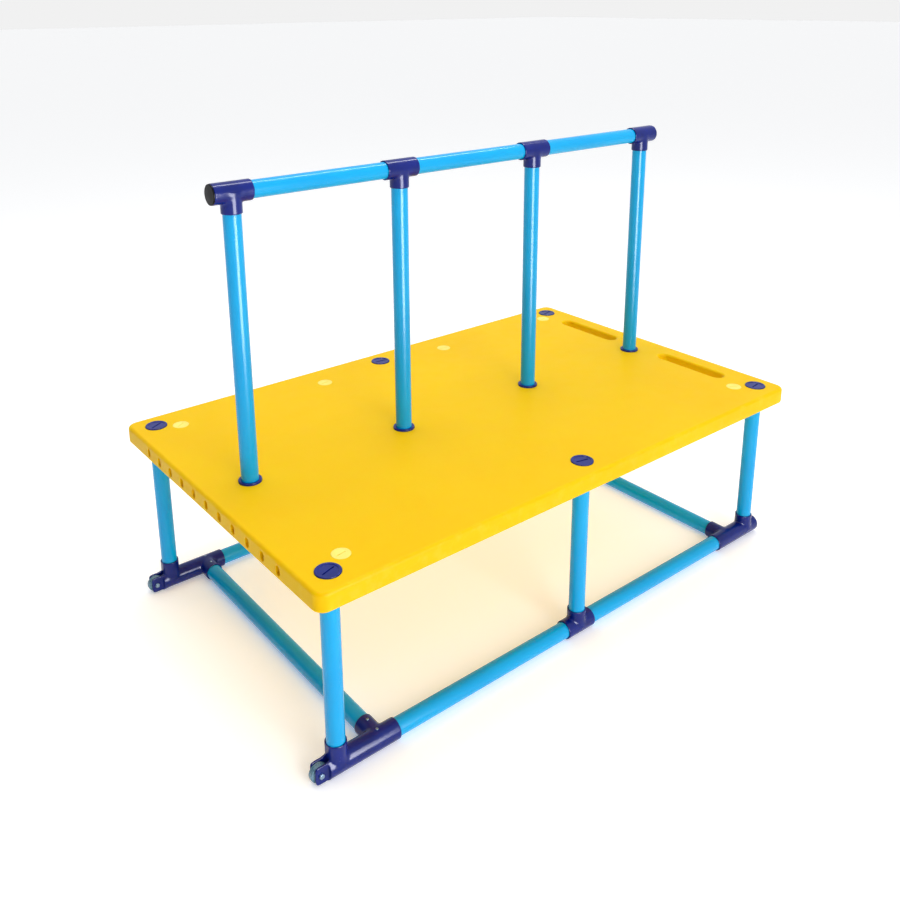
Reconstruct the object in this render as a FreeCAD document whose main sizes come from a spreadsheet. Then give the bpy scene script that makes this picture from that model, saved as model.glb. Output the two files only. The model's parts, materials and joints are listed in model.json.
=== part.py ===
"""Pool teaching platform with a lift-off handrail and two transport wheels.

A moulded deck stands on six tubular legs over a tube base.  Four handrail posts drop
into collars along the middle of the deck.  The two base fittings at one end carry a
small wheel each, and the deck has two hand holds at the other end, so that the
platform is lifted there and rolled.

Frame: X runs along the deck from the wheels to the hand holds, Y across it, Z up.
The origin is on the ground under the middle of the deck.  Millimetres.
"""
import FreeCAD, Part
import os
import Sketcher

V = FreeCAD.Vector
doc = FreeCAD.newDocument("teaching_platform")

# ---------------------------------------------------------------- driving dimensions
SIZES = (
    ("deck_length", 1600.0, "deck, along X"),
    ("deck_width", 990.0, "deck, along Y"),
    ("deck_top", 492.0, "height of the standing surface"),
    ("deck_thick", 46.0, "deck thickness"),
    ("deck_corner", 28.0, "radius of the deck's upright corners"),
    ("deck_top_round", 9.0, "radius of the deck's upper edge"),
    ("deck_low_round", 6.0, "radius of the deck's lower edge"),
    ("skin", 4.5, "wall of the hollow deck moulding"),
    ("end_wall", 14.0, "thicker wall at the wheel end, behind the notches"),
    ("boss_wall", 5.0, "wall around each socket in the deck"),
    ("tie_radius", 9.0, "radius of the columns that tie the two skins"),
    ("tie_pitch_x", 150.0, "distance between columns, along X"),
    ("tie_pitch_y", 98.0, "distance between columns, along Y"),
    ("vent_radius", 4.0, "radius of the drain holes in the deck's underside"),
    ("vent_x", 525.0, "drain holes, distance from the middle along X"),
    ("vent_y", 200.0, "drain holes, distance from the middle along Y"),
    ("notch_count", 11.0, "notches in the wheel end"),
    ("notch_pitch", 67.2, "distance between notches"),
    ("notch_width", 16.0, "width of a notch"),
    ("notch_tall", 24.0, "height of a notch"),
    ("notch_deep", 9.0, "depth of a notch"),
    ("grip_x", 722.0, "hand holds, X of their middle"),
    ("grip_y", 212.0, "hand holds, Y of their middle"),
    ("grip_length", 236.0, "hand hold, end to end"),
    ("grip_width", 40.0, "hand hold, across"),
    ("grip_round", 7.0, "radius of the hand hold's edges"),
    ("tube_radius", 21.1, "outer radius of every tube"),
    ("tube_bore", 17.5, "inner radius of every tube"),
    ("joint_radius", 24.5, "outer radius of every fitting"),
    ("joint_socket", 21.2, "radius of a fitting's socket"),
    ("joint_core", 17.0, "radius of the passage behind a socket"),
    ("joint_lip", 1.5, "chamfer at a socket's mouth"),
    ("branch_less", 0.2, "a fitting's branches are this much thinner than its run"),
    ("joint_stop", 23.0, "distance from a fitting's centre to the end of a tube in it"),
    ("tee_reach", 47.5, "tee, from its centre to each mouth"),
    ("run_socket", 25.0, "depth of the sockets for the long base tubes"),
    ("base_axis", 24.0, "height of the base tubes' axes"),
    ("leg_x", 738.0, "end legs, distance from the middle"),
    ("leg_y", 432.5, "legs, distance from the middle"),
    ("leg_shoulder", 8.0, "deck left over a leg's end"),
    ("stem_hole", 8.5, "radius of the hole for a cap's stem"),
    ("cap_radius", 28.5, "radius of a leg cap"),
    ("cap_recess", 2.5, "depth of the recess that a leg cap sits in"),
    ("cap_thick", 4.5, "thickness of a leg cap at its edge"),
    ("cap_stem", 6.0, "radius of a cap's stem"),
    ("cap_stem_length", 34.0, "length of a cap's stem"),
    ("insert_length", 40.0, "length of the plug in a leg's top"),
    ("post_pitch", 456.0, "distance between handrail posts"),
    ("spare_y", 396.5, "spare handrail sockets, distance from the middle"),
    ("rail_above", 699.0, "handrail axis above the deck"),
    ("collar_outer", 24.4, "outer radius of a post collar's sleeve"),
    ("collar_bore", 21.4, "inner radius of a post collar"),
    ("collar_flange", 28.2, "radius of a post collar's flange"),
    ("collar_high", 5.0, "height of the flange above the deck"),
    ("collar_seat", 1.0, "depth of the recess that the flange sits in"),
    ("collar_lip", 3.0, "thickness of the ledge that a post stands on"),
    ("post_gap", 0.3, "gap between a post's end and that ledge"),
    ("spare_bore", 21.3, "radius of a spare socket"),
    ("spare_deep", 36.0, "depth of a spare socket"),
    ("plug_thick", 5.0, "thickness of a spare socket's plug"),
    ("plug_skirt", 18.0, "length of the plug's skirt"),
    ("end_cap_thick", 3.0, "thickness of a handrail end cap"),
    ("end_cap_spigot", 18.0, "length of its spigot"),
    ("foot_inner", 582.0, "wheel foot, X of its inner mouth"),
    ("foot_outer", 766.0, "wheel foot, X of its outer end"),
    ("foot_leg_reach", 58.0, "wheel foot, height of its leg socket above the axis"),
    ("cross_reach", 56.0, "base fittings, from the axis to the cross tube's mouth"),
    ("foot_cross_x", 632.0, "cross tube at the wheel end, X"),
    ("corner_inner", 590.0, "corner fitting, X of its inner mouth"),
    ("corner_outer", 785.0, "corner fitting, X of its closed end"),
    ("corner_cross_x", 650.0, "cross tube at the hand-hold end, X"),
    ("corner_round", 5.0, "rounding of the corner fitting's closed end"),
    ("fork_end", 797.0, "X of the fork's end"),
    ("fork_root", 761.0, "X of the bottom of the fork's slot"),
    ("fork_half", 13.0, "half the fork's width"),
    ("fork_slot", 8.0, "half the width of the fork's slot"),
    ("fork_low", 3.0, "height of the fork's lower edge"),
    ("fork_tall", 43.0, "height of the fork"),
    ("fork_round", 9.0, "radius of the fork's corners"),
    ("wheel_x", 784.0, "wheels, distance from the middle"),
    ("wheel_radius", 21.0, "wheel radius"),
    ("wheel_half", 7.2, "half the width of the tyre"),
    ("hub_radius", 12.5, "radius of the hub"),
    ("hub_half", 7.6, "half the width of the hub"),
    ("axle_radius", 4.0, "radius of the axle bolt"),
    ("axle_clear", 0.05, "running clearance of the wheel on its bolt"),
    ("head_radius", 6.5, "radius of the bolt's head and of its nut"),
    ("head_thick", 4.5, "thickness of the bolt's head and of its nut"),
    ("screw_radius", 3.4, "radius of a lock screw's head"),
    ("screw_head", 1.8, "height of a lock screw's head"),
    ("screw_shank", 1.6, "radius of a lock screw's shank"),
    ("screw_deep", 3.0, "how far a lock screw goes into its fitting"),
    ("screw_cross", 37.5, "lock screw on the cross tube's socket, distance from the fitting's axis"),
)

sheet = doc.addObject("Spreadsheet::Sheet", "Sizes")
for row, (alias, value, meaning) in enumerate(SIZES, start=1):
    sheet.set("A%d" % row, meaning)
    sheet.set("B%d" % row, repr(value))
    sheet.setAlias("B%d" % row, alias)
doc.recompute()


def size(alias):
    """The value of a named cell."""
    return float(sheet.get(alias))


def cells(text):
    """Turns '{leg_x} + 3' into an expression that reads the sheet."""
    return text.replace("{", "Sizes.").replace("}", "")


def value(text):
    """The number that such an expression gives."""
    return float(sheet.evalExpression(cells(text)))


ALONG = {
    "+X": V(1, 0, 0), "-X": V(-1, 0, 0),
    "+Y": V(0, 1, 0), "-Y": V(0, -1, 0),
    "+Z": V(0, 0, 1), "-Z": V(0, 0, -1),
}
NEAR_FAR = (("near", -1), ("far", 1))


def place(item, x="0", y="0", z="0", along="+Z"):
    """Puts an object at a point given by expressions, its own Z turned along an axis."""
    item.Placement = FreeCAD.Placement(V(0, 0, 0), FreeCAD.Rotation(V(0, 0, 1), ALONG[along]))
    for letter, text in (("x", x), ("y", y), ("z", z)):
        item.setExpression("Placement.Base." + letter, cells(text))


# ---------------------------------------------------------------- building blocks
def rod(name, radius, length, x="0", y="0", z="0", along="+Z"):
    """A round bar that starts at a point and runs along an axis."""
    bar = doc.addObject("Part::Cylinder", name)
    bar.setExpression("Radius", cells(radius))
    bar.setExpression("Height", cells(length))
    place(bar, x, y, z, along)
    return bar


def cone(name, low, high, length, x="0", y="0", z="0", along="+Z"):
    """A round taper that starts at a point and runs along an axis."""
    taper = doc.addObject("Part::Cone", name)
    taper.setExpression("Radius1", cells(low))
    taper.setExpression("Radius2", cells(high))
    taper.setExpression("Height", cells(length))
    place(taper, x, y, z, along)
    return taper


def block(name, long, wide, tall, x="0", y="0", z="0"):
    """A box from its lowest corner."""
    box = doc.addObject("Part::Box", name)
    box.setExpression("Length", cells(long))
    box.setExpression("Width", cells(wide))
    box.setExpression("Height", cells(tall))
    place(box, x, y, z)
    return box


def joined(name, shapes):
    """One solid from several that overlap."""
    whole = doc.addObject("Part::MultiFuse", name)
    whole.Shapes = shapes
    whole.Refine = True
    return whole


def carved(name, solid, tools):
    """A solid with others taken out of it."""
    tool = tools[0] if len(tools) == 1 else joined(name + "_hollows", tools)
    result = doc.addObject("Part::Cut", name)
    result.Base = solid
    result.Tool = tool
    result.Refine = True
    return result


def group(name, shapes):
    """Separate solids that share one node."""
    bundle = doc.addObject("Part::Compound", name)
    bundle.Links = shapes
    return bundle


def plane(body, role):
    """A body's own origin plane."""
    return [item for item in body.Origin.OriginFeatures if item.Role == role][0]


def new_body(name):
    body = doc.addObject("PartDesign::Body", name)
    body.Label = name
    return body


def new_sketch(body, name, role="XY_Plane", lift="0"):
    """A sketch on an origin plane, lifted along the plane's normal."""
    sketch = body.newObject("Sketcher::SketchObject", name)
    sketch.AttachmentSupport = [(plane(body, role), "")]
    sketch.MapMode = "FlatFace"
    sketch.setExpression("AttachmentOffset.Base.z", cells(lift))
    return sketch


def bound(sketch, name, text, kind, *where):
    """A named dimension of a sketch, bound to an expression."""
    number = sketch.addConstraint(Sketcher.Constraint(kind, *where, value(text)))
    sketch.renameConstraint(number, name)
    sketch.setExpression("Constraints." + name, cells(text))


def circle(sketch, tag, radius, x="0", y="0"):
    """A circle whose centre and radius are bound to the sheet."""
    number = sketch.addGeometry(Part.Circle(V(value(x), value(y), 0), V(0, 0, 1), value(radius)))
    bound(sketch, "radius" + tag, radius, "Radius", number)
    for axis, kind, text in (("x", "DistanceX", x), ("y", "DistanceY", y)):
        if value(text) == 0.0:
            line = -2 if axis == "x" else -1
            sketch.addConstraint(Sketcher.Constraint("PointOnObject", number, 3, line))
        else:
            bound(sketch, axis + tag, text, kind, -1, 1, number, 3)


def outline(sketch, corners, tag=""):
    """A closed polyline; each corner is a pair of expressions."""
    points = [V(value(a), value(b), 0) for a, b in corners]
    first = sketch.GeometryCount
    for start, end in zip(points, points[1:] + points[:1]):
        sketch.addGeometry(Part.LineSegment(start, end))
    for step, (a, b) in enumerate(corners):
        here = first + step
        before = first + (step - 1) % len(corners)
        sketch.addConstraint(Sketcher.Constraint("Coincident", before, 2, here, 1))
        for axis, kind, text in (("a", "DistanceX", a), ("b", "DistanceY", b)):
            if value(text) == 0.0:
                line = -2 if axis == "a" else -1
                sketch.addConstraint(Sketcher.Constraint("PointOnObject", here, 1, line))
            else:
                bound(sketch, "%s%s%d" % (axis, tag, step), text, kind, -1, 1, here, 1)


def oblong(sketch, length, width, x, y, tag, upright=True):
    """A slot outline with round ends, its long side along the sketch's Y or X."""
    half = (value(length) - value(width)) / 2
    radius = value(width) / 2
    middle = V(value(x), value(y), 0)
    run = V(0, 1, 0) if upright else V(1, 0, 0)
    side = V(1, 0, 0) if upright else V(0, 1, 0)
    head = middle + run * half
    foot = middle - run * half
    first = sketch.GeometryCount
    sketch.addGeometry(Part.LineSegment(foot + side * radius, head + side * radius))
    sketch.addGeometry(Part.Arc(head + side * radius, head + run * radius, head - side * radius))
    sketch.addGeometry(Part.LineSegment(head - side * radius, foot - side * radius))
    sketch.addGeometry(Part.Arc(foot - side * radius, foot - run * radius, foot + side * radius))
    for arc, text in ((first + 1, width), (first + 3, width)):
        bound(sketch, "round%s%d" % (tag, arc), "(" + text + ") / 2", "Radius", arc)
    sketch.addConstraint(Sketcher.Constraint("Block", first))
    sketch.addConstraint(Sketcher.Constraint("Block", first + 2))


def pad(body, sketch, length, both=False):
    feature = body.newObject("PartDesign::Pad", sketch.Name + "_pad")
    feature.Profile = sketch
    feature.setExpression("Length", cells(length))
    feature.Midplane = both
    sketch.Visibility = False
    body.Tip = feature
    doc.recompute()
    return feature


def pocket(body, sketch, length, reverse=False):
    """Cuts, and stops if nothing came away."""
    before = body.Shape.Volume
    feature = body.newObject("PartDesign::Pocket", sketch.Name + "_pocket")
    feature.Profile = sketch
    feature.setExpression("Length", cells(length))
    feature.Reversed = reverse
    body.Tip = feature
    doc.recompute()
    if body.Shape.Volume > before - 1.0:
        raise RuntimeError(sketch.Name + " cuts nothing")
    return feature


def rounded(body, name, radius, test):
    """Rounds the edges of a body's tip that pass a test."""
    base = body.Tip
    names = ["Edge%d" % n for n, edge in enumerate(base.Shape.Edges, start=1) if test(edge)]
    if not names:
        raise RuntimeError(name + " finds no edge")
    feature = body.newObject("PartDesign::Fillet", name)
    feature.Base = (base, names)
    feature.setExpression("Radius", cells(radius))
    body.Tip = feature
    doc.recompute()
    return feature


def turned(name, corners, x="0", y="0", z="0", along="+Z"):
    """A body of revolution: corners are (radius, height) expressions."""
    body = new_body(name)
    sketch = new_sketch(body, name + "_profile", "XZ_Plane")
    outline(sketch, corners)
    feature = body.newObject("PartDesign::Revolution", name + "_turn")
    feature.Profile = sketch
    feature.ReferenceAxis = (sketch, ["V_Axis"])
    feature.Angle = 360.0
    body.Tip = feature
    place(body, x, y, z, along)
    doc.recompute()
    return body


def tube(name, length, x="0", y="0", z="0", along="+Z"):
    """A length of the plastic tube that the whole frame is made of."""
    body = new_body(name)
    sketch = new_sketch(body, name + "_section")
    circle(sketch, "Outer", "{tube_radius}")
    circle(sketch, "Inner", "{tube_bore}")
    pad(body, sketch, length)
    place(body, x, y, z, along)
    return body


def thinner(along):
    """What a branch's radii are less by: nothing on the run, which lies along X."""
    return "" if along[1] == "X" else " - {branch_less}"


def arm(name, reach, x, y, z, along):
    """One arm of a fitting, from its centre to a chamfered mouth."""
    step = {"X": V(1, 0, 0), "Y": V(0, 1, 0), "Z": V(0, 0, 1)}[along[1]]
    sign = along[0]
    shift = "%s(%s - {joint_lip})" % (sign, reach)
    radius = "{joint_radius}" + thinner(along)
    bar = rod(name, radius, reach + " - {joint_lip}", x, y, z, along)
    tip = cone(
        name + "_lip", radius, radius + " - {joint_lip}", "{joint_lip}",
        x + (shift if step.x else ""), y + (shift if step.y else ""),
        z + (shift if step.z else ""), along,
    )
    return [bar, tip]


def socket(name, reach, x, y, z, along, stop="{joint_stop}"):
    """What is cut for one arm: the tube's socket, and the passage behind its stop."""
    step = {"X": V(1, 0, 0), "Y": V(0, 1, 0), "Z": V(0, 0, 1)}[along[1]]
    shift = "%s(%s)" % (along[0], stop)
    wide = rod(
        name, "{joint_socket}", "%s - %s + 1" % (reach, stop),
        x + (shift if step.x else ""), y + (shift if step.y else ""),
        z + (shift if step.z else ""), along,
    )
    return [wide, rod(name + "_core", "{joint_core}" + thinner(along), reach, x, y, z, along)]


def edge_at(edge, axis, level, slack=0.01):
    """True if the whole edge lies at one level of an axis."""
    box = edge.BoundBox
    low = getattr(box, axis + "Min")
    high = getattr(box, axis + "Max")
    return abs(low - level) < slack and abs(high - level) < slack


# ---------------------------------------------------------------- deck
LEG_PLACES = (
    ("wheel_end", "-{leg_x}"),
    ("middle", "0"),
    ("hand_end", "{leg_x}"),
)
POST_PLACES = tuple("%.1f * {post_pitch}" % step for step in (-1.5, -0.5, 0.5, 1.5))
# Six spare sockets: one by each corner, and two more along the far side.
SPARE_PLACES = (
    ("near_wheel_end", POST_PLACES[0], "-{spare_y}"),
    ("near_hand_end", POST_PLACES[3], "-{spare_y}"),
    ("far_wheel_end", POST_PLACES[0], "{spare_y}"),
    ("far_wheel_side", POST_PLACES[1], "{spare_y}"),
    ("far_hand_side", POST_PLACES[2], "{spare_y}"),
    ("far_hand_end", POST_PLACES[3], "{spare_y}"),
)
UNDERSIDE = "{deck_top} - {deck_thick}"


def leg_points():
    for side, sign in NEAR_FAR:
        for end, x in LEG_PLACES:
            yield side + "_" + end, x, "%d * {leg_y}" % sign


def make_deck():
    """The hollow moulded deck, with bosses round its sockets and columns that tie its skins."""
    body = new_body("deck")
    blank = new_sketch(body, "deck_blank", lift=UNDERSIDE)
    half_long = "{deck_length} / 2"
    half_wide = "{deck_width} / 2"
    outline(blank, (
        ("-" + half_long, "-" + half_wide), (half_long, "-" + half_wide),
        (half_long, half_wide), ("-" + half_long, half_wide),
    ))
    pad(body, blank, "{deck_thick}")
    top = size("deck_top")
    bottom = top - size("deck_thick")
    rounded(body, "deck_corners", "{deck_corner}",
            lambda edge: edge.BoundBox.ZLength > size("deck_thick") - 1)
    rounded(body, "deck_upper_edge", "{deck_top_round}", lambda edge: edge_at(edge, "Z", top))
    rounded(body, "deck_lower_edge", "{deck_low_round}", lambda edge: edge_at(edge, "Z", bottom))

    cavity = new_sketch(body, "deck_cavity", lift="{deck_top} - {skin}")
    inner_x = "{deck_length} / 2 - {skin} - 2"
    inner_y = "{deck_width} / 2 - {skin} - 2"
    outline(cavity, (
        ("-({deck_length} / 2 - {end_wall})", "-(" + inner_y + ")"), (inner_x, "-(" + inner_y + ")"),
        (inner_x, inner_y), ("-({deck_length} / 2 - {end_wall})", inner_y),
    ))
    pocket(body, cavity, "{deck_thick} - 2 * {skin}")
    inner_height = size("deck_thick") - 2 * size("skin")
    rounded(body, "deck_cavity_corners", "{deck_corner} - {skin}",
            lambda edge: len(edge.Vertexes) == 2
            and abs(edge.BoundBox.ZLength - inner_height) < 0.01
            and edge.BoundBox.XLength + edge.BoundBox.YLength < 0.01)

    bosses = new_sketch(body, "deck_bosses", lift=UNDERSIDE + " + {skin} / 2")
    for number, (name, x, y) in enumerate(leg_points()):
        circle(bosses, "Leg%d" % number, "{cap_radius} + {boss_wall} / 2", x, y)
    for number, x in enumerate(POST_PLACES):
        circle(bosses, "Post%d" % number, "{collar_outer} + {boss_wall}", x)
    pad(body, bosses, "{deck_thick} - {skin}")
    spares = new_sketch(body, "deck_spare_bosses", lift=UNDERSIDE + " + {skin} / 2")
    for number, (name, x, y) in enumerate(SPARE_PLACES):
        circle(spares, "Spare%d" % number, "{spare_bore} + {boss_wall}", x, y)
    pad(body, spares, "{deck_thick} - {skin}")
    grips = new_sketch(body, "deck_grip_bosses", lift=UNDERSIDE + " + {skin} / 2")
    for side, sign in NEAR_FAR:
        oblong(grips, "{grip_length} + 4 * {boss_wall}", "{grip_width} + 4 * {boss_wall}",
               "{grip_x}", "%d * {grip_y}" % sign, side)
    pad(body, grips, "{deck_thick} - {skin}")

    ties = new_sketch(body, "deck_ties", lift=UNDERSIDE + " + {skin} / 2")
    for column in range(-4, 5):
        for line in (-3, -2, -1, 1, 2, 3):
            shift = 0.5 if line > 0 else -0.5
            circle(ties, "Tie%d" % ties.GeometryCount, "{tie_radius}",
                   "%d * {tie_pitch_x}" % column, "%.1f * {tie_pitch_y}" % (line - shift))
    pad(body, ties, "{deck_thick} - {skin}")
    vents = new_sketch(body, "deck_vents", lift=UNDERSIDE + " + {skin} + 1")
    for number, (across, along) in enumerate(((-1, -1), (1, -1), (1, 1), (-1, 1))):
        circle(vents, "Vent%d" % number, "{vent_radius}",
               "%d * {vent_x}" % across, "%d * {vent_y}" % along)
    pocket(body, vents, "{skin} + 2")

    leg_sockets = new_sketch(body, "deck_leg_sockets", lift="{deck_top} - {leg_shoulder}")
    stem_holes = new_sketch(body, "deck_stem_holes", lift="{deck_top}")
    cap_recesses = new_sketch(body, "deck_cap_recesses", lift="{deck_top}")
    for number, (name, x, y) in enumerate(leg_points()):
        circle(leg_sockets, "Leg%d" % number, "{joint_socket}", x, y)
        circle(stem_holes, "Stem%d" % number, "{stem_hole}", x, y)
        circle(cap_recesses, "Cap%d" % number, "{cap_radius} + 0.6", x, y)
    pocket(body, leg_sockets, "{deck_thick}")
    pocket(body, stem_holes, "{deck_thick} / 2")
    pocket(body, cap_recesses, "{cap_recess}")

    post_holes = new_sketch(body, "deck_post_holes", lift="{deck_top}")
    for number, x in enumerate(POST_PLACES):
        circle(post_holes, "Post%d" % number, "{collar_outer} + 0.1", x)
    pocket(body, post_holes, "{deck_thick} + 1")
    collar_seats = new_sketch(body, "deck_collar_seats", lift="{deck_top}")
    for number, x in enumerate(POST_PLACES):
        circle(collar_seats, "Seat%d" % number, "{collar_flange} + 0.6", x)
    pocket(body, collar_seats, "{collar_seat}")
    spare_holes = new_sketch(body, "deck_spare_holes", lift="{deck_top}")
    for number, (name, x, y) in enumerate(SPARE_PLACES):
        circle(spare_holes, "Spare%d" % number, "{spare_bore}", x, y)
    pocket(body, spare_holes, "{spare_deep}")

    grip_holes = new_sketch(body, "deck_grip_holes", lift="{deck_top}")
    for side, sign in NEAR_FAR:
        oblong(grip_holes, "{grip_length}", "{grip_width}", "{grip_x}", "%d * {grip_y}" % sign, side)
    pocket(body, grip_holes, "{deck_thick} + 1")
    grip_reach = size("grip_width") / 2 + 0.1
    rounded(body, "deck_grip_edges", "{grip_round}", lambda edge: (
        (edge_at(edge, "Z", top) or edge_at(edge, "Z", bottom))
        and edge.BoundBox.XMin > size("grip_x") - grip_reach
        and edge.BoundBox.XMax < size("grip_x") + grip_reach
        and edge.BoundBox.YMax * edge.BoundBox.YMin > 0
        and max(abs(edge.BoundBox.YMax), abs(edge.BoundBox.YMin)) < size("leg_y") - 60))

    notch = new_sketch(body, "deck_notches", "YZ_Plane", lift="-{deck_length} / 2")
    for number in range(int(size("notch_count"))):
        step = number - (size("notch_count") - 1) / 2
        oblong(notch, "{notch_tall}", "{notch_width}", "%.1f * {notch_pitch}" % step,
               "{deck_top} - {deck_thick} / 2 - 1", "Notch%d" % number)
    pocket(body, notch, "{notch_deep}", reverse=True)
    return body


# ---------------------------------------------------------------- legs and their caps
def make_cap(name, x, y):
    """A slotted screw cap that draws a leg's end up against the deck."""
    seat = "-{cap_thick} / 2"
    body = turned(name, (
        ("0", "-{cap_stem_length}"), ("{cap_stem}", "-{cap_stem_length}"), ("{cap_stem}", "0"),
        ("{cap_radius}", "0"), ("{cap_radius}", "{cap_thick} - 1.2"),
        ("{cap_radius} - 1.2", "{cap_thick}"), ("0", "{cap_thick} + 0.8"),
    ), x, y, "{deck_top} - {cap_recess}")
    slot = new_sketch(body, name + "_slot", lift="{cap_thick} + 1")
    outline(slot, (
        ("-{cap_radius} * 0.62", "-2.2"), ("{cap_radius} * 0.62", "-2.2"),
        ("{cap_radius} * 0.62", "2.2"), ("-{cap_radius} * 0.62", "2.2"),
    ))
    pocket(body, slot, "{cap_thick} / 2 + 1")
    return body


made = [make_deck()]
leg_length = "{deck_top} - {leg_shoulder} - {base_axis} - {joint_stop}"
inserts = []
for name, x, y in leg_points():
    made.append(tube("leg_" + name, leg_length, x, y, "{base_axis} + {joint_stop}"))
    made.append(make_cap("leg_cap_" + name, x, y))
    start = "{deck_top} - {leg_shoulder} - {insert_length}"
    plug = rod("insert_" + name, "{tube_bore} - 0.1", "{insert_length}", x, y, start)
    hole = rod("insert_hole_" + name, "{cap_stem} + 0.1", "{insert_length} + 2", x, y, start + " - 1")
    inserts.append(carved("leg_insert_" + name, plug, [hole]))
made.append(group("leg_inserts", inserts))

# ---------------------------------------------------------------- post collars and plugs
for number, x in enumerate(POST_PLACES, start=1):
    made.append(turned("post_collar_%d" % number, (
        ("{collar_bore} - 6", "0"), ("{collar_outer}", "0"),
        ("{collar_outer}", "{deck_thick} - {collar_seat}"),
        ("{collar_flange}", "{deck_thick} - {collar_seat}"),
        ("{collar_flange}", "{deck_thick} + {collar_high} - 1.5"),
        ("{collar_flange} - 1.5", "{deck_thick} + {collar_high}"),
        ("{collar_bore} + 0.8", "{deck_thick} + {collar_high}"),
        ("{collar_bore}", "{deck_thick} + {collar_high} - 0.8"),
        ("{collar_bore}", "{collar_lip}"), ("{collar_bore} - 6", "{collar_lip}"),
    ), x, "0", UNDERSIDE))
for name, x, y in SPARE_PLACES:
    plug = turned("socket_plug_" + name, (
        ("0", "{plug_skirt}"), ("{spare_bore} - 3", "{plug_skirt}"), ("{spare_bore} - 3", "0"),
        ("{spare_bore} - 0.1", "0"), ("{spare_bore} - 0.1", "{plug_skirt} + {plug_thick} - 0.8"),
        ("{spare_bore} - 0.9", "{plug_skirt} + {plug_thick}"),
        ("0", "{plug_skirt} + {plug_thick} + 0.6"),
    ), x, y, "{deck_top} - {plug_skirt} - {plug_thick}")
    slot = new_sketch(plug, "plug_slot_" + name, lift="{plug_skirt} + {plug_thick} + 1")
    outline(slot, (
        ("-{spare_bore} * 0.6", "-1.8"), ("{spare_bore} * 0.6", "-1.8"),
        ("{spare_bore} * 0.6", "1.8"), ("-{spare_bore} * 0.6", "1.8"),
    ))
    pocket(plug, slot, "{plug_thick} / 2 + 1")
    made.append(plug)


# ---------------------------------------------------------------- base fittings
def ground_land(name, x, long, y):
    """Cuts a fitting's round underside to a narrow flat land at ground level."""
    reach = "({cross_reach} + 10)"
    return block(name + "_land", long, "2 * " + reach, "10", x, y + " - " + reach, "-10")


def mirrored(name, fitting):
    """The far side's fitting, the near one's mirror image across the middle of the platform."""
    twin = doc.addObject("Part::Mirroring", name)
    twin.Source = fitting
    twin.Base = V(0, 0, 0)
    twin.Normal = V(0, 1, 0)
    return twin


def screw_spots(sign):
    """Where the two lock screws of a wheel foot stand, along Y."""
    return (("run", "%d * {leg_y}" % sign), ("cross", "%d * ({leg_y} - {screw_cross})" % sign))


def make_foot(name):
    """Near wheel foot: sockets for the leg, the long tube and the cross tube, and a wheel fork."""
    y = "-{leg_y}"
    inward = "+Y"
    run_length = "{foot_outer} - {foot_inner}"
    solids = [rod(name + "_run", "{joint_radius}", run_length + " - {joint_lip}",
                  "-{foot_outer}", y, "{base_axis}", "+X")]
    solids.append(cone(name + "_run_lip", "{joint_radius}", "{joint_radius} - {joint_lip}",
                       "{joint_lip}", "-{foot_inner} - {joint_lip}", y, "{base_axis}", "+X"))
    solids += arm(name + "_leg", "{foot_leg_reach}", "-{leg_x}", y, "{base_axis}", "+Z")
    solids += arm(name + "_cross", "{cross_reach}", "-{foot_cross_x}", y, "{base_axis}", inward)
    cheeks = block(name + "_fork", "{fork_end} - {fork_root} + 6", "2 * {fork_half}", "{fork_tall}",
                   "-{fork_end}", y + " - {fork_half}", "{fork_low}")
    doc.recompute()
    soft = doc.addObject("Part::Fillet", name + "_fork_rounded")
    soft.Base = cheeks
    soft.Edges = [(n, size("fork_round"), size("fork_round"))
                  for n, edge in enumerate(cheeks.Shape.Edges, start=1)
                  if edge_at(edge, "X", -size("fork_end")) and edge.BoundBox.YLength > 1]
    solids.append(soft)
    hollows = [rod(name + "_run_socket", "{joint_socket}", "{run_socket} + 1",
                   "-{foot_inner} + 1", y, "{base_axis}", "-X")]
    hollows.append(rod(name + "_run_core", "{joint_core}", "{leg_x} - {foot_inner}",
                       "-{leg_x}", y, "{base_axis}", "+X"))
    hollows += socket(name + "_leg_socket", "{foot_leg_reach}", "-{leg_x}", y, "{base_axis}", "+Z")
    hollows += socket(name + "_cross_socket", "{cross_reach}", "-{foot_cross_x}", y,
                      "{base_axis}", inward)
    hollows.append(block(name + "_slot", "{fork_end} - {fork_root} + 10", "2 * {fork_slot}", "80",
                         "-{fork_end} - 10", y + " - {fork_slot}", "-10"))
    hollows.append(rod(name + "_axle_hole", "{axle_radius} + 0.1", "80",
                       "-{wheel_x}", y + " - 40", "{base_axis} + 0.5", "+Y"))
    hollows.append(ground_land(name, "-{fork_end}", "{fork_end} - {foot_inner}", y))
    crown = "{base_axis} + {joint_radius}"
    for spot, spot_y in screw_spots(-1):
        hollows.append(rod("%s_screw_%s" % (name, spot), "{screw_shank} + 0.05", "{screw_deep} + 5",
                           "-{foot_cross_x}", spot_y, crown + " - {screw_deep}"))
        hollows.append(rod("%s_spot_%s" % (name, spot), "{screw_radius} + 0.2", "5",
                           "-{foot_cross_x}", spot_y, crown + " - 0.4"))
    return carved(name, joined(name + "_body", solids), hollows)


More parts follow.
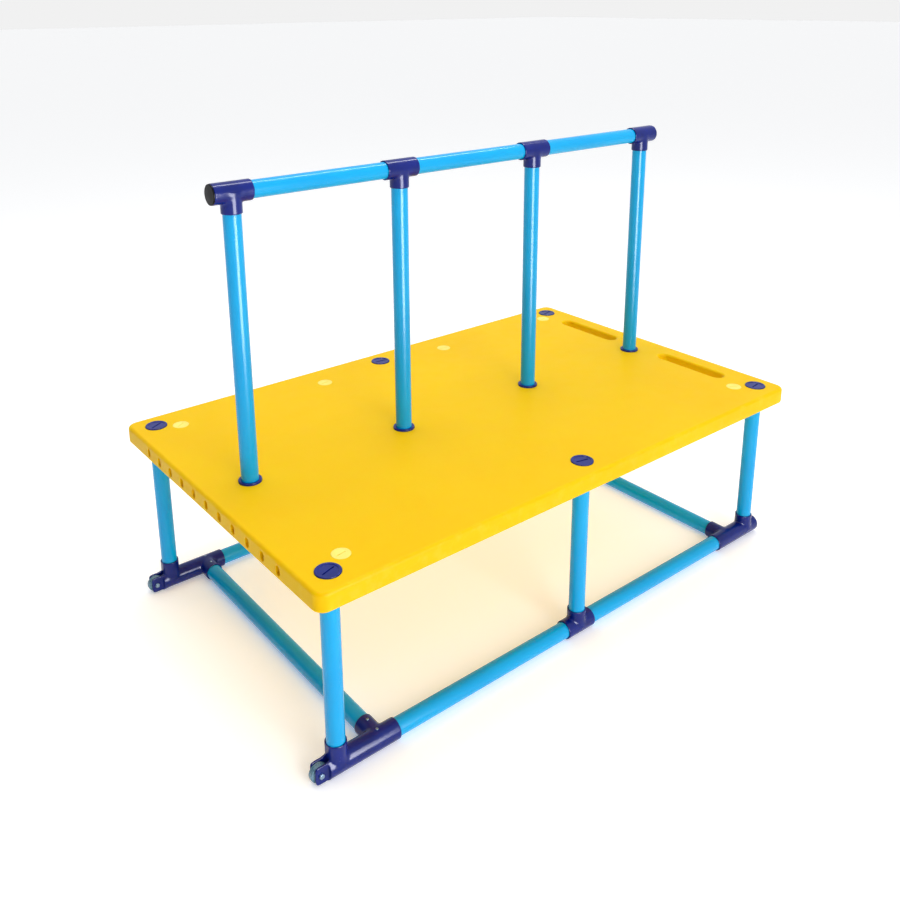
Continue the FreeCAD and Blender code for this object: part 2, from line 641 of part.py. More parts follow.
def make_corner(name):
    """Near corner fitting: closed at its outer end, with the same three sockets."""
    y = "-{leg_y}"
    inward = "+Y"
    bar = rod(name + "_run", "{joint_radius}", "{corner_outer} - {corner_inner} - {joint_lip}",
              "{corner_inner} + {joint_lip}", y, "{base_axis}", "+X")
    doc.recompute()
    closed = doc.addObject("Part::Fillet", name + "_closed_end")
    closed.Base = bar
    closed.Edges = [(n, size("corner_round"), size("corner_round"))
                    for n, edge in enumerate(bar.Shape.Edges, start=1)
                    if edge_at(edge, "X", size("corner_outer"))]
    solids = [closed, cone(name + "_run_lip", "{joint_radius}", "{joint_radius} - {joint_lip}",
                           "{joint_lip}", "{corner_inner} + {joint_lip}", y, "{base_axis}", "-X")]
    solids += arm(name + "_leg", "{tee_reach}", "{leg_x}", y, "{base_axis}", "+Z")
    solids += arm(name + "_cross", "{cross_reach}", "{corner_cross_x}", y, "{base_axis}", inward)
    hollows = [rod(name + "_run_socket", "{joint_socket}", "{run_socket} + 1",
                   "{corner_inner} - 1", y, "{base_axis}", "+X")]
    hollows.append(rod(name + "_run_core", "{joint_core}", "{leg_x} - {corner_inner}",
                       "{corner_inner}", y, "{base_axis}", "+X"))
    hollows += socket(name + "_leg_socket", "{tee_reach}", "{leg_x}", y, "{base_axis}", "+Z")
    hollows += socket(name + "_cross_socket", "{cross_reach}", "{corner_cross_x}", y,
                      "{base_axis}", inward)
    hollows.append(ground_land(name, "{corner_inner}", "{corner_outer} - {corner_inner}", y))
    return carved(name, joined(name + "_body", solids), hollows)


def make_tee(name, x, y, z, branch, land=False):
    """A tee of the frame's standard size, its run along X."""
    solids = []
    hollows = []
    for along in ("-X", "+X", branch):
        tag = name + "_" + along.replace("-", "minus_").replace("+", "plus_")
        solids += arm(tag, "{tee_reach}", x, y, z, along)
        hollows += socket(tag + "_socket", "{tee_reach}", x, y, z, along)
    if land:
        hollows.append(ground_land(name, x + " - {tee_reach}", "2 * {tee_reach}", y))
    return carved(name, joined(name + "_body", solids), hollows)


foot = make_foot("wheel_foot_near")
corner = make_corner("base_corner_near")
made += [foot, mirrored("wheel_foot_far", foot), corner, mirrored("base_corner_far", corner)]
for side, sign in NEAR_FAR:
    y = "%d * {leg_y}" % sign
    made.append(make_tee("base_tee_" + side, "0", y, "{base_axis}", "+Z", land=True))
    reach = "{foot_inner} + {run_socket} - {joint_stop}"
    made.append(tube("base_tube_%s_wheel_end" % side, reach,
                     "-{foot_inner} - {run_socket}", y, "{base_axis}", "+X"))
    reach = "{corner_inner} + {run_socket} - {joint_stop}"
    made.append(tube("base_tube_%s_hand_end" % side, reach,
                     "{joint_stop}", y, "{base_axis}", "+X"))
for end, x in (("wheel_end", "-{foot_cross_x}"), ("hand_end", "{corner_cross_x}")):
    made.append(tube("cross_tube_" + end, "2 * ({leg_y} - {joint_stop})",
                     x, "-{leg_y} + {joint_stop}", "{base_axis}", "+Y"))

# ---------------------------------------------------------------- wheels and their bolts
AXLE_Z = "{base_axis} + 0.5"
for side, sign in NEAR_FAR:
    y = "%d * {leg_y}" % sign
    outward = "+Y" if sign > 0 else "-Y"
    bore = "{axle_radius} + {axle_clear}"
    made.append(turned("wheel_hub_" + side, (
        (bore, "-{hub_half}"), ("{hub_radius} - 3", "-{hub_half}"), ("{hub_radius}", "-{wheel_half} + 1.5"),
        ("{hub_radius}", "{wheel_half} - 1.5"), ("{hub_radius} - 3", "{hub_half}"), (bore, "{hub_half}"),
    ), "-{wheel_x}", y, AXLE_Z, outward))
    made.append(turned("wheel_tyre_" + side, (
        ("{hub_radius}", "-{wheel_half} + 1.5"), ("{wheel_radius} - 4", "-{wheel_half}"),
        ("{wheel_radius} - 1.2", "-{wheel_half} + 1.2"), ("{wheel_radius}", "-{wheel_half} + 3.8"),
        ("{wheel_radius}", "{wheel_half} - 3.8"), ("{wheel_radius} - 1.2", "{wheel_half} - 1.2"),
        ("{wheel_radius} - 4", "{wheel_half}"), ("{hub_radius}", "{wheel_half} - 1.5"),
    ), "-{wheel_x}", y, AXLE_Z, outward))
    head = "%s + %d * {fork_half}" % (y, sign)
    shank = rod("axle_shank_" + side, "{axle_radius}", "2 * {fork_half} + {head_thick} + 3",
                "-{wheel_x}", head, AXLE_Z, "-Y" if sign > 0 else "+Y")
    hexagon = doc.addObject("Part::Prism", "axle_head_" + side)
    hexagon.Polygon = 6
    hexagon.setExpression("Circumradius", cells("{head_radius}"))
    hexagon.setExpression("Height", cells("{head_thick}"))
    place(hexagon, "-{wheel_x}", head, AXLE_Z, outward)
    made.append(joined("axle_bolt_" + side, [shank, hexagon]))
    inner = "%s - %d * ({fork_half} + {head_thick})" % (y, sign)
    nut = doc.addObject("Part::Prism", "axle_nut_blank_" + side)
    nut.Polygon = 6
    nut.setExpression("Circumradius", cells("{head_radius}"))
    nut.setExpression("Height", cells("{head_thick}"))
    place(nut, "-{wheel_x}", inner, AXLE_Z, outward)
    thread = rod("axle_nut_thread_" + side, "{axle_radius} + 0.02", "{head_thick} + 2",
                 "-{wheel_x}", "%s - %d" % (inner, sign), AXLE_Z, outward)
    made.append(carved("axle_nut_" + side, nut, [thread]))

# ---------------------------------------------------------------- lock screws on the wheel feet
screws = []
for side, sign in NEAR_FAR:
    for spot, y in screw_spots(sign):
        tag = "screw_%s_%s" % (side, spot)
        seat = "{base_axis} + {joint_radius} - 0.4"
        head = rod(tag + "_head", "{screw_radius}", "{screw_head}", "-{foot_cross_x}", y, seat)
        shank = rod(tag + "_shank", "{screw_shank}", "{screw_deep}",
                    "-{foot_cross_x}", y, seat + " - {screw_deep} + 0.4 + 0.1")
        screws.append(joined(tag, [head, shank]))
made.append(group("lock_screws", screws))

# ---------------------------------------------------------------- handrail
RAIL_Z = "{deck_top} + {rail_above}"
post_foot = UNDERSIDE + " + {collar_lip} + {post_gap}"
post_length = "{rail_above} + {deck_thick} - {joint_stop} - {collar_lip} - {post_gap}"
for number, x in enumerate(POST_PLACES, start=1):
    made.append(tube("rail_post_%d" % number, post_length, x, "0", post_foot))
    made.append(make_tee("rail_tee_%d" % number, x, "0", RAIL_Z, "-Z"))
for number, x in enumerate(POST_PLACES[:3], start=1):
    made.append(tube("rail_tube_%d" % number, "{post_pitch} - 2 * {joint_stop}",
                     x + " + {joint_stop}", "0", RAIL_Z, "+X"))
for end, x, along, sign in (("wheel_end", POST_PLACES[0], "-X", "-"), ("hand_end", POST_PLACES[3], "+X", "+")):
    made.append(turned("rail_end_cap_" + end, (
        ("0", "-{end_cap_spigot}"), ("{joint_socket} - 0.1", "-{end_cap_spigot}"),
        ("{joint_socket} - 0.1", "0"), ("{joint_radius} - 0.6", "0"),
        ("{joint_radius} - 0.6", "{end_cap_thick} - 1.8"),
        ("{joint_radius} - 2.4", "{end_cap_thick}"), ("0", "{end_cap_thick} + 0.8"),
    ), x + " %s {tee_reach}" % sign, "0", RAIL_Z, along))

# ---------------------------------------------------------------- check and write
doc.recompute()
for item in doc.Objects:
    bad = [flag for flag in item.State if flag in ("Invalid", "Error")]
    if bad:
        raise RuntimeError("%s is %s" % (item.Label, bad))
os.makedirs("parts", exist_ok=True)
for item in made:
    shape = item.Shape
    if shape.isNull() or not shape.isValid():
        raise RuntimeError(item.Label + " has no valid shape")
    shape.exportStep("parts/%s.step" % item.Label)
    box = shape.BoundBox
    print("%-34s %2d solid  %10.0f mm3  x %7.1f..%7.1f  y %7.1f..%7.1f  z %7.1f..%7.1f" % (
        item.Label, len(shape.Solids), shape.Volume,
        box.XMin, box.XMax, box.YMin, box.YMax, box.ZMin, box.ZMax))
print(len(made), "nodes")
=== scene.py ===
# %% [markdown]
# # A pool teaching platform
#
# The real object is a platform for teaching children to swim.  A yellow moulded deck stands in
# shallow water on a frame of blue plastic tube.  Navy fittings join the tubes, a handrail runs
# along the middle, and one end has two small wheels so that one person can roll it away.
#
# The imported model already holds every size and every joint.  This script gives each part its
# finished surface: soft moulded edges, blended fittings and plastics that catch the light the way
# moulded and extruded plastics do.  It works in metres, and every place is read from the model.

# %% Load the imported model
import json
import math
import bmesh
import bpy
from mathutils import Matrix, Vector


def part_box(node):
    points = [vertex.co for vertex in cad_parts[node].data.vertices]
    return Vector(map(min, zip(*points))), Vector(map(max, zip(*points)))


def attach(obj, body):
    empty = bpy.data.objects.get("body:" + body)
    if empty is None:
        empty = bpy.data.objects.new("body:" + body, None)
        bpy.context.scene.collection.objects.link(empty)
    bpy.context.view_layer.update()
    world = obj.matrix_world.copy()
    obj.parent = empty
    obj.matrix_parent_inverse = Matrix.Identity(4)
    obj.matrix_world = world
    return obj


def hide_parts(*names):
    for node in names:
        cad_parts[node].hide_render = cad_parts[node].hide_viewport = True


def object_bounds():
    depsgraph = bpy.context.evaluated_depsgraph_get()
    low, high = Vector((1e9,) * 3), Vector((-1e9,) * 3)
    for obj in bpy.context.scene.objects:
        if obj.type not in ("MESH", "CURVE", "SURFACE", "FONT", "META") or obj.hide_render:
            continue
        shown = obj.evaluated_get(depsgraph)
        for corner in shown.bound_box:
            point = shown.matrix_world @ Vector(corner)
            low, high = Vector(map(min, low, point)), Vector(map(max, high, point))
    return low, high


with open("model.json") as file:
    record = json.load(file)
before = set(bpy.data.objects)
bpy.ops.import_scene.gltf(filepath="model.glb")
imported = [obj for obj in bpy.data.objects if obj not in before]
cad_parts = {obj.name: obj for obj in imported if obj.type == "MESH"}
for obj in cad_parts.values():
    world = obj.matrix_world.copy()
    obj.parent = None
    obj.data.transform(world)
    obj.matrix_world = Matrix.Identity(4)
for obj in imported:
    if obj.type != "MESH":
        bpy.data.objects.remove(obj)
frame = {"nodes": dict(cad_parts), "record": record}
cad_low, cad_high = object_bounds()
MM = 0.001


def middle_of(node):
    """The middle of a node's box."""
    low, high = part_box(node)
    return (low + high) / 2


print("box", [round(v, 4) for v in (*cad_low, *cad_high)])

# %% [markdown]
# ## Where the camera stands
#
# The object is looked at from beyond its wheel end, a little above the handrail, so that the long
# side, the wheel end and the deck all show.  A camera is aimed with three plain turns: its heading
# round the vertical, its tilt below the horizon, and a small roll.  The lens shift drops the frame
# without tilting the camera any further, which keeps the posts nearly upright.

# %% Camera
CAMERA_PLACE = (-1.5853, -1.8626, 1.5923)
CAMERA_HEADING = -38.56
CAMERA_TILT = -15.93
CAMERA_ROLL = -0.40
CAMERA_LENS = 37.62
CAMERA_SHIFT = (0.0110, -0.2026)

camera = bpy.data.objects.new("camera", bpy.data.cameras.new("camera"))
bpy.context.scene.collection.objects.link(camera)
camera.data.lens = CAMERA_LENS
camera.data.shift_x, camera.data.shift_y = CAMERA_SHIFT
camera.data.clip_end = 200.0
aim = Matrix.Rotation(math.radians(CAMERA_HEADING), 4, "Z")
aim @= Matrix.Rotation(math.radians(90 + CAMERA_TILT), 4, "X")
aim @= Matrix.Rotation(math.radians(CAMERA_ROLL), 4, "Z")
camera.matrix_world = Matrix.Translation(CAMERA_PLACE) @ aim
bpy.context.scene.camera = camera
print("camera", CAMERA_PLACE, "lens", CAMERA_LENS)

# %% [markdown]
# ## Helpers for node trees
#
# Both the finishes and the repeated shapes are node trees.  Built by hand, each node takes three
# or four lines.  These helpers take that up: `plug` sets or links a socket, `add` adds a node by
# its inputs' names, `calc` adds one sum, and `dress` fills in a shader's sockets at the end.  The
# rest are the few nodes that every finish uses.

# %% Node helpers
def plug(tree, socket, value):
    """Links a socket to another node's output, or sets it to a plain value."""
    if isinstance(value, bpy.types.NodeSocket):
        tree.links.new(value, socket)
    else:
        socket.default_value = value


def add(tree, kind, output=0, settings=(), **inputs):
    """Adds a node with its settings and inputs, and gives back one of its outputs."""
    node = tree.nodes.new(kind)
    for name, value in dict(settings).items():
        setattr(node, name, value)
    for name, value in inputs.items():
        plug(tree, node.inputs[name.replace("_", " ")], value)
    return node.outputs[output]


def calc(tree, operation, *values, clamp=False):
    """Adds one sum and gives back its result."""
    node = tree.nodes.new("ShaderNodeMath")
    node.operation = operation
    node.use_clamp = clamp
    for socket, value in zip(node.inputs, values):
        plug(tree, socket, value)
    return node.outputs[0]


def spread(tree, value, low, high, to_low=0.0, to_high=1.0):
    """Stretches a range of numbers onto another, and cuts off what lies outside."""
    node = tree.nodes.new("ShaderNodeMapRange")
    for socket, number in zip(node.inputs, (value, low, high, to_low, to_high)):
        plug(tree, socket, number)
    return node.outputs[0]


def blend_colours(tree, factor, first, second):
    node = tree.nodes.new("ShaderNodeMix")
    node.data_type = "RGBA"
    plug(tree, node.inputs["Factor"], factor)
    plug(tree, node.inputs["A"], first)
    plug(tree, node.inputs["B"], second)
    return node.outputs["Result"]


def linear(red, green, blue):
    """A colour given 0 to 255, as the light it stands for."""
    parts = [value / 255 for value in (red, green, blue)]
    return tuple(v / 12.92 if v <= 0.04045 else ((v + 0.055) / 1.055) ** 2.4 for v in parts) + (1.0,)


def noise(tree, place, scale, detail=2.0, roughness=0.5):
    return add(tree, "ShaderNodeTexNoise", "Fac", Vector=place, Scale=scale, Detail=detail,
               Roughness=roughness)


def stretched(tree, place, scale):
    """The same place, squeezed or stretched along each axis."""
    return add(tree, "ShaderNodeMapping", "Vector", Vector=place, Scale=scale)


def bump(tree, height, distance, strength=1.0, under=None):
    """A bump, on its own or laid over another one."""
    relief = add(tree, "ShaderNodeBump", "Normal", Height=height, Distance=distance, Strength=strength)
    if under is not None:
        plug(tree, relief.node.inputs["Normal"], under)
    return relief


def new_finish(name):
    """An empty finish: the material, its node tree and its shader."""
    finish = bpy.data.materials.new(name + "_finish")
    finish["slot"] = name
    finish.use_nodes = True
    return finish, finish.node_tree, finish.node_tree.nodes["Principled BSDF"]


def dress(shader, **inputs):
    """Links or sets the shader's own sockets by name."""
    for name, value in inputs.items():
        plug(shader.id_data, shader.inputs[name.replace("_", " ")], value)


print("node helpers ready")

# %% [markdown]
# ## A plain studio
#
# Two large soft panels, overhead and in front of the long side, light the surfaces.  Glossy
# plastic shows what it reflects, so two strips show only in gloss: the one overhead draws a line
# along every level tube, and the low one in front draws a band down every post.  A pale surround
# fills the rest, dim towards the wheel end, so that end falls into shade.  The floor is plain and
# pale, with a little light of its own so that it stays pale far away.

# %% Floor and lights
FLOOR_HALF = 60.0
SURROUND = 0.88
SURROUND_DIM = 0.05
FLOOR_GLOW = 0.26
STUDIO = (
    # name, place, size, power in watts, lights the surface, shows in gloss
    ("overhead", (0.3, 0.5, 4.2), (4.5, 2.6), 84.0, True, False),
    ("front", (-0.9, -4.8, 2.4), (2.4, 2.4), 105.0, True, False),
    ("overhead_strip", (0.3, 0.35, 4.2), (5.0, 0.35), 115.0, False, True),
    ("low_front_strip", (-0.42, -2.1, 0.75), (1.15, 1.5), 105.0, False, True),
)


def add_floor():
    mesh = bpy.data.meshes.new("floor")
    corners = [(x * FLOOR_HALF, y * FLOOR_HALF, 0.0) for x, y in ((-1, -1), (1, -1), (1, 1), (-1, 1))]
    mesh.from_pydata(corners, [], [(0, 1, 2, 3)])
    floor = bpy.data.objects.new("floor", mesh)
    bpy.context.scene.collection.objects.link(floor)
    paint = bpy.data.materials.new("floor")
    paint.use_nodes = True
    shader = paint.node_tree.nodes["Principled BSDF"]
    shader.inputs["Base Color"].default_value = (0.96, 0.97, 0.985, 1.0)
    shader.inputs["Roughness"].default_value = 0.85
    shader.inputs["Specular IOR Level"].default_value = 0.1
    shader.inputs["Emission Color"].default_value = (1.0, 1.0, 1.0, 1.0)
    shader.inputs["Emission Strength"].default_value = FLOOR_GLOW
    mesh.materials.append(paint)


def add_panel(name, place, size, power, lights, glints):
    lamp = bpy.data.lights.new(name, "AREA")
    lamp.shape = "RECTANGLE"
    lamp.size, lamp.size_y = size
    lamp.energy = power
    panel = bpy.data.objects.new(name, lamp)
    bpy.context.scene.collection.objects.link(panel)
    panel.visible_diffuse, panel.visible_glossy = lights, glints
    target = Vector((place[0], 0.0, min(place[2], cad_high.z / 2)))
    panel.location = place
    panel.rotation_euler = (target - Vector(place)).to_track_quat("-Z", "Y").to_euler()


def add_surround():
    """An even pale surround that dims towards the wheel end."""
    world = bpy.data.worlds.new("surround")
    world.use_nodes = True
    tree = world.node_tree
    way = add(tree, "ShaderNodeTexCoord", "Generated")
    to_x = add(tree, "ShaderNodeSeparateXYZ", "X", Vector=way)
    strength = spread(tree, to_x, -0.80, -0.08, SURROUND_DIM, SURROUND)
    plug(tree, tree.nodes["Background"].inputs["Strength"], strength)
    tree.nodes["Background"].inputs["Color"].default_value = (1.0, 1.0, 1.0, 1.0)
    bpy.context.scene.world = world


add_floor()
for light in STUDIO:
    add_panel(*light)
add_surround()
bpy.context.scene.view_settings.view_transform = "Standard"
print("lights", [light[0] for light in STUDIO])

# %% [markdown]
# ## Moulded yellow deck plastic
#
# The deck is a big hollow polyethylene moulding.  Such a skin is even in colour but not perfect:
# the pigment clouds a little over a hand's width, the tool leaves a fine orange-peel texture, and
# feet and hauling leave fine scuffs, thickest along the upper edge and the hand holds.  All of it
# reads Object coordinates, so nothing slides when the platform is seen from elsewhere.

# %% Deck finish
DECK_YELLOW = linear(236, 190, 3)
DECK_DEEP = linear(232, 181, 2)
DECK_PALE = linear(238, 202, 70)


def deck_plastic():
    finish, tree, shader = new_finish("deck_yellow")
    place = add(tree, "ShaderNodeTexCoord", "Object")
    cloud = spread(tree, noise(tree, place, 3.2, 3.0), 0.35, 0.7)
    base = blend_colours(tree, calc(tree, "MULTIPLY", cloud, 0.55), DECK_YELLOW, DECK_DEEP)

    # Scuffs are long thin flecks, in two directions, and only where a broad patch lets them show.
    along = noise(tree, stretched(tree, place, (14.0, 320.0, 60.0)), 1.0, 3.0, 0.6)
    across = noise(tree, stretched(tree, place, (260.0, 18.0, 60.0)), 1.0, 3.0, 0.6)
    flecks = calc(tree, "MAXIMUM", spread(tree, along, 0.68, 0.76), spread(tree, across, 0.70, 0.78))
    patch = spread(tree, noise(tree, place, 7.0, 2.0), 0.45, 0.65)
    scuff = calc(tree, "MULTIPLY", flecks, patch)

    # The rim is rubbed where the platform is carried and stacked.
    parts = add(tree, "ShaderNodeSeparateXYZ", "X", Vector=place).node.outputs
    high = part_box("deck")[1]
    band = 8 * MM
    past_end = calc(tree, "SUBTRACT", calc(tree, "ABSOLUTE", parts["X"]), high.x - band)
    past_side = calc(tree, "SUBTRACT", calc(tree, "ABSOLUTE", parts["Y"]), high.y - band)
    rim = spread(tree, calc(tree, "MAXIMUM", past_end, past_side), 0.0, band * 0.6)
    rubbed = calc(tree, "MULTIPLY", rim, spread(tree, noise(tree, place, 38.0, 3.0, 0.6), 0.48, 0.72))

    worn = calc(tree, "MAXIMUM", calc(tree, "MULTIPLY", scuff, 0.35), calc(tree, "MULTIPLY", rubbed, 0.28))
    rough = calc(tree, "ADD", spread(tree, noise(tree, place, 22.0, 3.0), 0.3, 0.7, 0.36, 0.46),
                 calc(tree, "MULTIPLY", worn, 0.25))
    peel = bump(tree, noise(tree, place, 420.0, 2.0), 0.05 * MM, 0.6)
    wave = bump(tree, noise(tree, place, 9.0, 1.0), 0.35 * MM, under=peel)
    dress(shader, Base_Color=blend_colours(tree, worn, base, DECK_PALE), Roughness=rough, Normal=wave,
          Specular_IOR_Level=0.06, Subsurface_Weight=0.3, Subsurface_Radius=(1.0, 0.42, 0.06),
          Subsurface_Scale=8 * MM)
    return finish


deck_yellow = deck_plastic()
print("made", deck_yellow.name)

# %% [markdown]
# ## Glossy plastics of the frame
#
# The tubes are extruded, so their faint lines all run along the tube.  Every tube carries its own
# unrolled place as an attribute, with its length along the third axis, and one finish serves the
# upright and the level ones alike.  The navy fittings are injection moulded: they have a slight
# sink and flow pattern, and a scatter of fine marks from being pushed together.

# %% Tube and fitting finishes
TUBE_BLUE = linear(0, 165, 225)
TUBE_DEEP = linear(0, 151, 216)
NAVY = linear(6, 29, 120)
NAVY_DEEP = linear(4, 22, 98)
NAVY_PALE = linear(90, 100, 176)


def tube_plastic():
    finish, tree, shader = new_finish("tube_blue")
    own = add(tree, "ShaderNodeAttribute", "Vector", {"attribute_name": "tube_place"})
    lines = noise(tree, stretched(tree, own, (260.0, 260.0, 1.2)), 1.0, 3.0, 0.6)
    drift = noise(tree, stretched(tree, own, (8.0, 8.0, 5.0)), 1.0, 2.0)
    base = blend_colours(tree, spread(tree, drift, 0.35, 0.7, 0.0, 0.6), TUBE_BLUE, TUBE_DEEP)
    rubs = noise(tree, stretched(tree, own, (90.0, 90.0, 900.0)), 1.0, 2.0, 0.6)
    patch = spread(tree, noise(tree, stretched(tree, own, (14.0, 14.0, 9.0)), 1.0, 2.0), 0.52, 0.68)
    rub = calc(tree, "MULTIPLY", spread(tree, rubs, 0.66, 0.76), patch)
    pale = linear(96, 200, 240)
    rubbed = blend_colours(tree, calc(tree, "MULTIPLY", rub, 0.35), base, pale)
    rough = calc(tree, "ADD", spread(tree, lines, 0.3, 0.7, 0.14, 0.22), calc(tree, "MULTIPLY", rub, 0.2))
    dress(shader, Base_Color=rubbed, Roughness=rough, Normal=bump(tree, lines, 0.03 * MM, 0.5),
          Specular_IOR_Level=0.28)
    return finish


def moulded_plastic(name, colour, deep, pale, roughness=(0.14, 0.24), specular=0.3):
    """Small mouldings: fittings, caps and plugs."""
    finish, tree, shader = new_finish(name)
    place = add(tree, "ShaderNodeTexCoord", "Object")
    flow = noise(tree, place, 26.0, 2.0)
    base = blend_colours(tree, spread(tree, flow, 0.35, 0.7, 0.0, 0.7), colour, deep)
    flecks = noise(tree, stretched(tree, place, (60.0, 420.0, 420.0)), 1.0, 2.0, 0.6)
    patch = spread(tree, noise(tree, place, 30.0, 2.0), 0.5, 0.66)
    nick = calc(tree, "MULTIPLY", spread(tree, flecks, 0.70, 0.78), patch)
    nicked = blend_colours(tree, calc(tree, "MULTIPLY", nick, 0.4), base, pale)
    smooth = spread(tree, noise(tree, place, 80.0, 3.0), 0.3, 0.7, *roughness)
    rough = calc(tree, "ADD", smooth, calc(tree, "MULTIPLY", nick, 0.25))
    sink = bump(tree, noise(tree, place, 40.0, 1.0), 0.05 * MM, 0.4)
    grain = bump(tree, noise(tree, place, 1500.0, 1.0), 0.004 * MM, under=sink)
    dress(shader, Base_Color=nicked, Roughness=rough, Normal=grain, Specular_IOR_Level=specular)
    return finish


tube_blue = tube_plastic()
fitting_navy = moulded_plastic("fitting_navy", NAVY, NAVY_DEEP, NAVY_PALE)
# The near-black of the wheel-end cap is painted shade: a darker copy of the navy, standing for the navy cap
# in the shade of the wheel end.
cap_black = moulded_plastic("cap_black", linear(14, 15, 20), linear(9, 9, 13),
                            linear(60, 62, 72), (0.3, 0.42), 0.12)
plug_yellow = moulded_plastic("plug_pale_yellow", linear(248, 228, 112), linear(242, 216, 92),
                            linear(252, 240, 170), (0.32, 0.42))
print("made", tube_blue.name, fitting_navy.name, cap_black.name, plug_yellow.name)

# %% [markdown]
# ## Wheels and metal
#
# The wheels are soft, slightly see-through grey-blue plastic: light goes a little way in, so the
# shader lets some of it pass and scatters the rest.  The bolts are stainless steel with turning
# marks left by the tool.

# %% Wheel and steel finishes
def wheel_plastic(name, colour, deep, through):
    finish, tree, shader = new_finish(name)
    place = add(tree, "ShaderNodeTexCoord", "Object")
    cloud = spread(tree, noise(tree, place, 60.0, 3.0), 0.35, 0.7)
    grit = spread(tree, noise(tree, place, 300.0, 3.0), 0.35, 0.7, 0.22, 0.42)
    pits = bump(tree, noise(tree, place, 700.0, 2.0), 0.03 * MM, 0.5)
    dress(shader, Base_Color=blend_colours(tree, cloud, colour, deep), Roughness=grit, Normal=pits,
          Transmission_Weight=through, IOR=1.45, Coat_Weight=0.3)
    return finish


def bright_metal():
    finish, tree, shader = new_finish("bright_steel")
    place = add(tree, "ShaderNodeTexCoord", "Object")
    marks = noise(tree, stretched(tree, place, (3000.0, 200.0, 3000.0)), 1.0, 2.0)
    steel = blend_colours(tree, spread(tree, marks, 0.3, 0.7), linear(150, 172, 190), linear(112, 138, 160))
    dress(shader, Base_Color=steel, Roughness=spread(tree, marks, 0.3, 0.7, 0.2, 0.38),
          Normal=bump(tree, marks, 0.01 * MM, 0.5), Metallic=1.0)
    return finish


tyre_blue = wheel_plastic("tyre_grey_blue", linear(120, 164, 188), linear(84, 132, 160), 0.35)
hub_blue = wheel_plastic("hub_grey_blue", linear(70, 104, 128), linear(52, 82, 104), 0.0)
bright_steel = bright_metal()
print("made", tyre_blue.name, hub_blue.name, bright_steel.name)

# %% [markdown]
# ## From a mesh to a finished piece
#
# Every piece ends the same way: it gets its finish and soft shading, and all but the grown fittings
# keep crisp corners and get a weighted normal, so that flat faces look flat right up to a rounded
# edge.  Then it rides on its body and stands for the plain parts that it replaces, which are hidden.

# %% Finishing a piece
CRISP = math.radians(38)


def to_object(name, mesh):
    piece = bpy.data.objects.new(name, mesh)
    bpy.context.scene.collection.objects.link(piece)
    return piece


def finish_piece(piece, body, paint, *stands_for, crisp=True):
    """Finishes one piece and ties it to its body and to the parts that it stands for."""
    mesh = piece.data
    mesh.materials.clear()
    mesh.materials.append(paint)
    mesh.shade_smooth()
    if crisp:
        mesh.set_sharp_from_angle(angle=CRISP)
        even = piece.modifiers.new("even shading", "WEIGHTED_NORMAL")
        even.keep_sharp = True
        even.weight = 80
    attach(piece, body)
    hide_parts(*stands_for)
    return piece


def bake_nodes(name, source, tree, **inputs):
    """Runs a geometry tree on a mesh and gives back the plain mesh that it makes."""
    maker = to_object(name + "_maker", source)
    steps = maker.modifiers.new("steps", "NODES")
    steps.node_group = tree
    named = {socket.name: socket.identifier for socket in tree.interface.items_tree
             if socket.in_out == "INPUT"}
    for label, value in inputs.items():
        steps[named[label.replace("_", " ")]] = value
    seen = maker.evaluated_get(bpy.context.evaluated_depsgraph_get())
    mesh = bpy.data.meshes.new_from_object(seen)
    mesh.name = name
    bpy.data.objects.remove(maker)
    return mesh


def new_tree(name, inputs):
    """A geometry tree with named inputs: its input sockets by name, its output node, and itself."""
    tree = bpy.data.node_groups.new(name, "GeometryNodeTree")
    tree.is_modifier = True
    tree.interface.new_socket("Geometry", in_out="INPUT", socket_type="NodeSocketGeometry")
    tree.interface.new_socket("Geometry", in_out="OUTPUT", socket_type="NodeSocketGeometry")
    for label, kind in inputs:
        tree.interface.new_socket(label, in_out="INPUT", socket_type="NodeSocket" + kind)
    entry = tree.nodes.new("NodeGroupInput")
    result = tree.nodes.new("NodeGroupOutput")
    return tree, entry.outputs, result


print("crisp corners from", round(math.degrees(CRISP)), "degrees")

# %% [markdown]
# ## Tubes
#
# A tube is a ring-shaped wall with softened rims.  It could be a cylinder with a hole cut in it,
# but a thin rounded rectangle swept round a circle makes the outer wall, the bore and both rims in
# one step, and the tree needs only a length and two radii.  Before the tube is turned into place,
# the tree stores where each point lies on the straight tube, for the finish to read.

# %% Tube tree
RIM_ROUND = 0.8 * MM
TUBE_WALL = 3.6 * MM


def tube_tree():
    tree, given, result = new_tree("straight tube", (
        ("Length", "Float"), ("Outer radius", "Float"), ("Bore radius", "Float"),
        ("Rim", "Float"), ("Place", "Vector"), ("Turn", "Rotation"), ("Paint", "Material"),
    ))
    wall = calc(tree, "SUBTRACT", given["Outer radius"], given["Bore radius"])
    middle = calc(tree, "MULTIPLY", calc(tree, "ADD", given["Outer radius"], given["Bore radius"]), 0.5)
    section = add(tree, "GeometryNodeCurvePrimitiveQuadrilateral", "Curve",
                  Width=wall, Height=given["Length"])
    section = add(tree, "GeometryNodeFilletCurve", "Curve", {"mode": "POLY"},
                  Curve=section, Radius=given["Rim"], Count=3)
    path = add(tree, "GeometryNodeCurvePrimitiveCircle", "Curve", Resolution=72, Radius=middle)
    solid = add(tree, "GeometryNodeCurveToMesh", "Mesh", Curve=path, Profile_Curve=section)
    here = add(tree, "GeometryNodeInputPosition")
    marked = add(tree, "GeometryNodeStoreNamedAttribute", "Geometry",
                 {"data_type": "FLOAT_VECTOR", "domain": "POINT"},
                 Geometry=solid, Name="tube_place", Value=here)
    placed = add(tree, "GeometryNodeTransform", "Geometry", Geometry=marked,
                 Translation=given["Place"], Rotation=given["Turn"])
    painted = add(tree, "GeometryNodeSetMaterial", "Geometry", Geometry=placed, Material=given["Paint"])
    plug(tree, result.inputs["Geometry"], painted)
    return tree


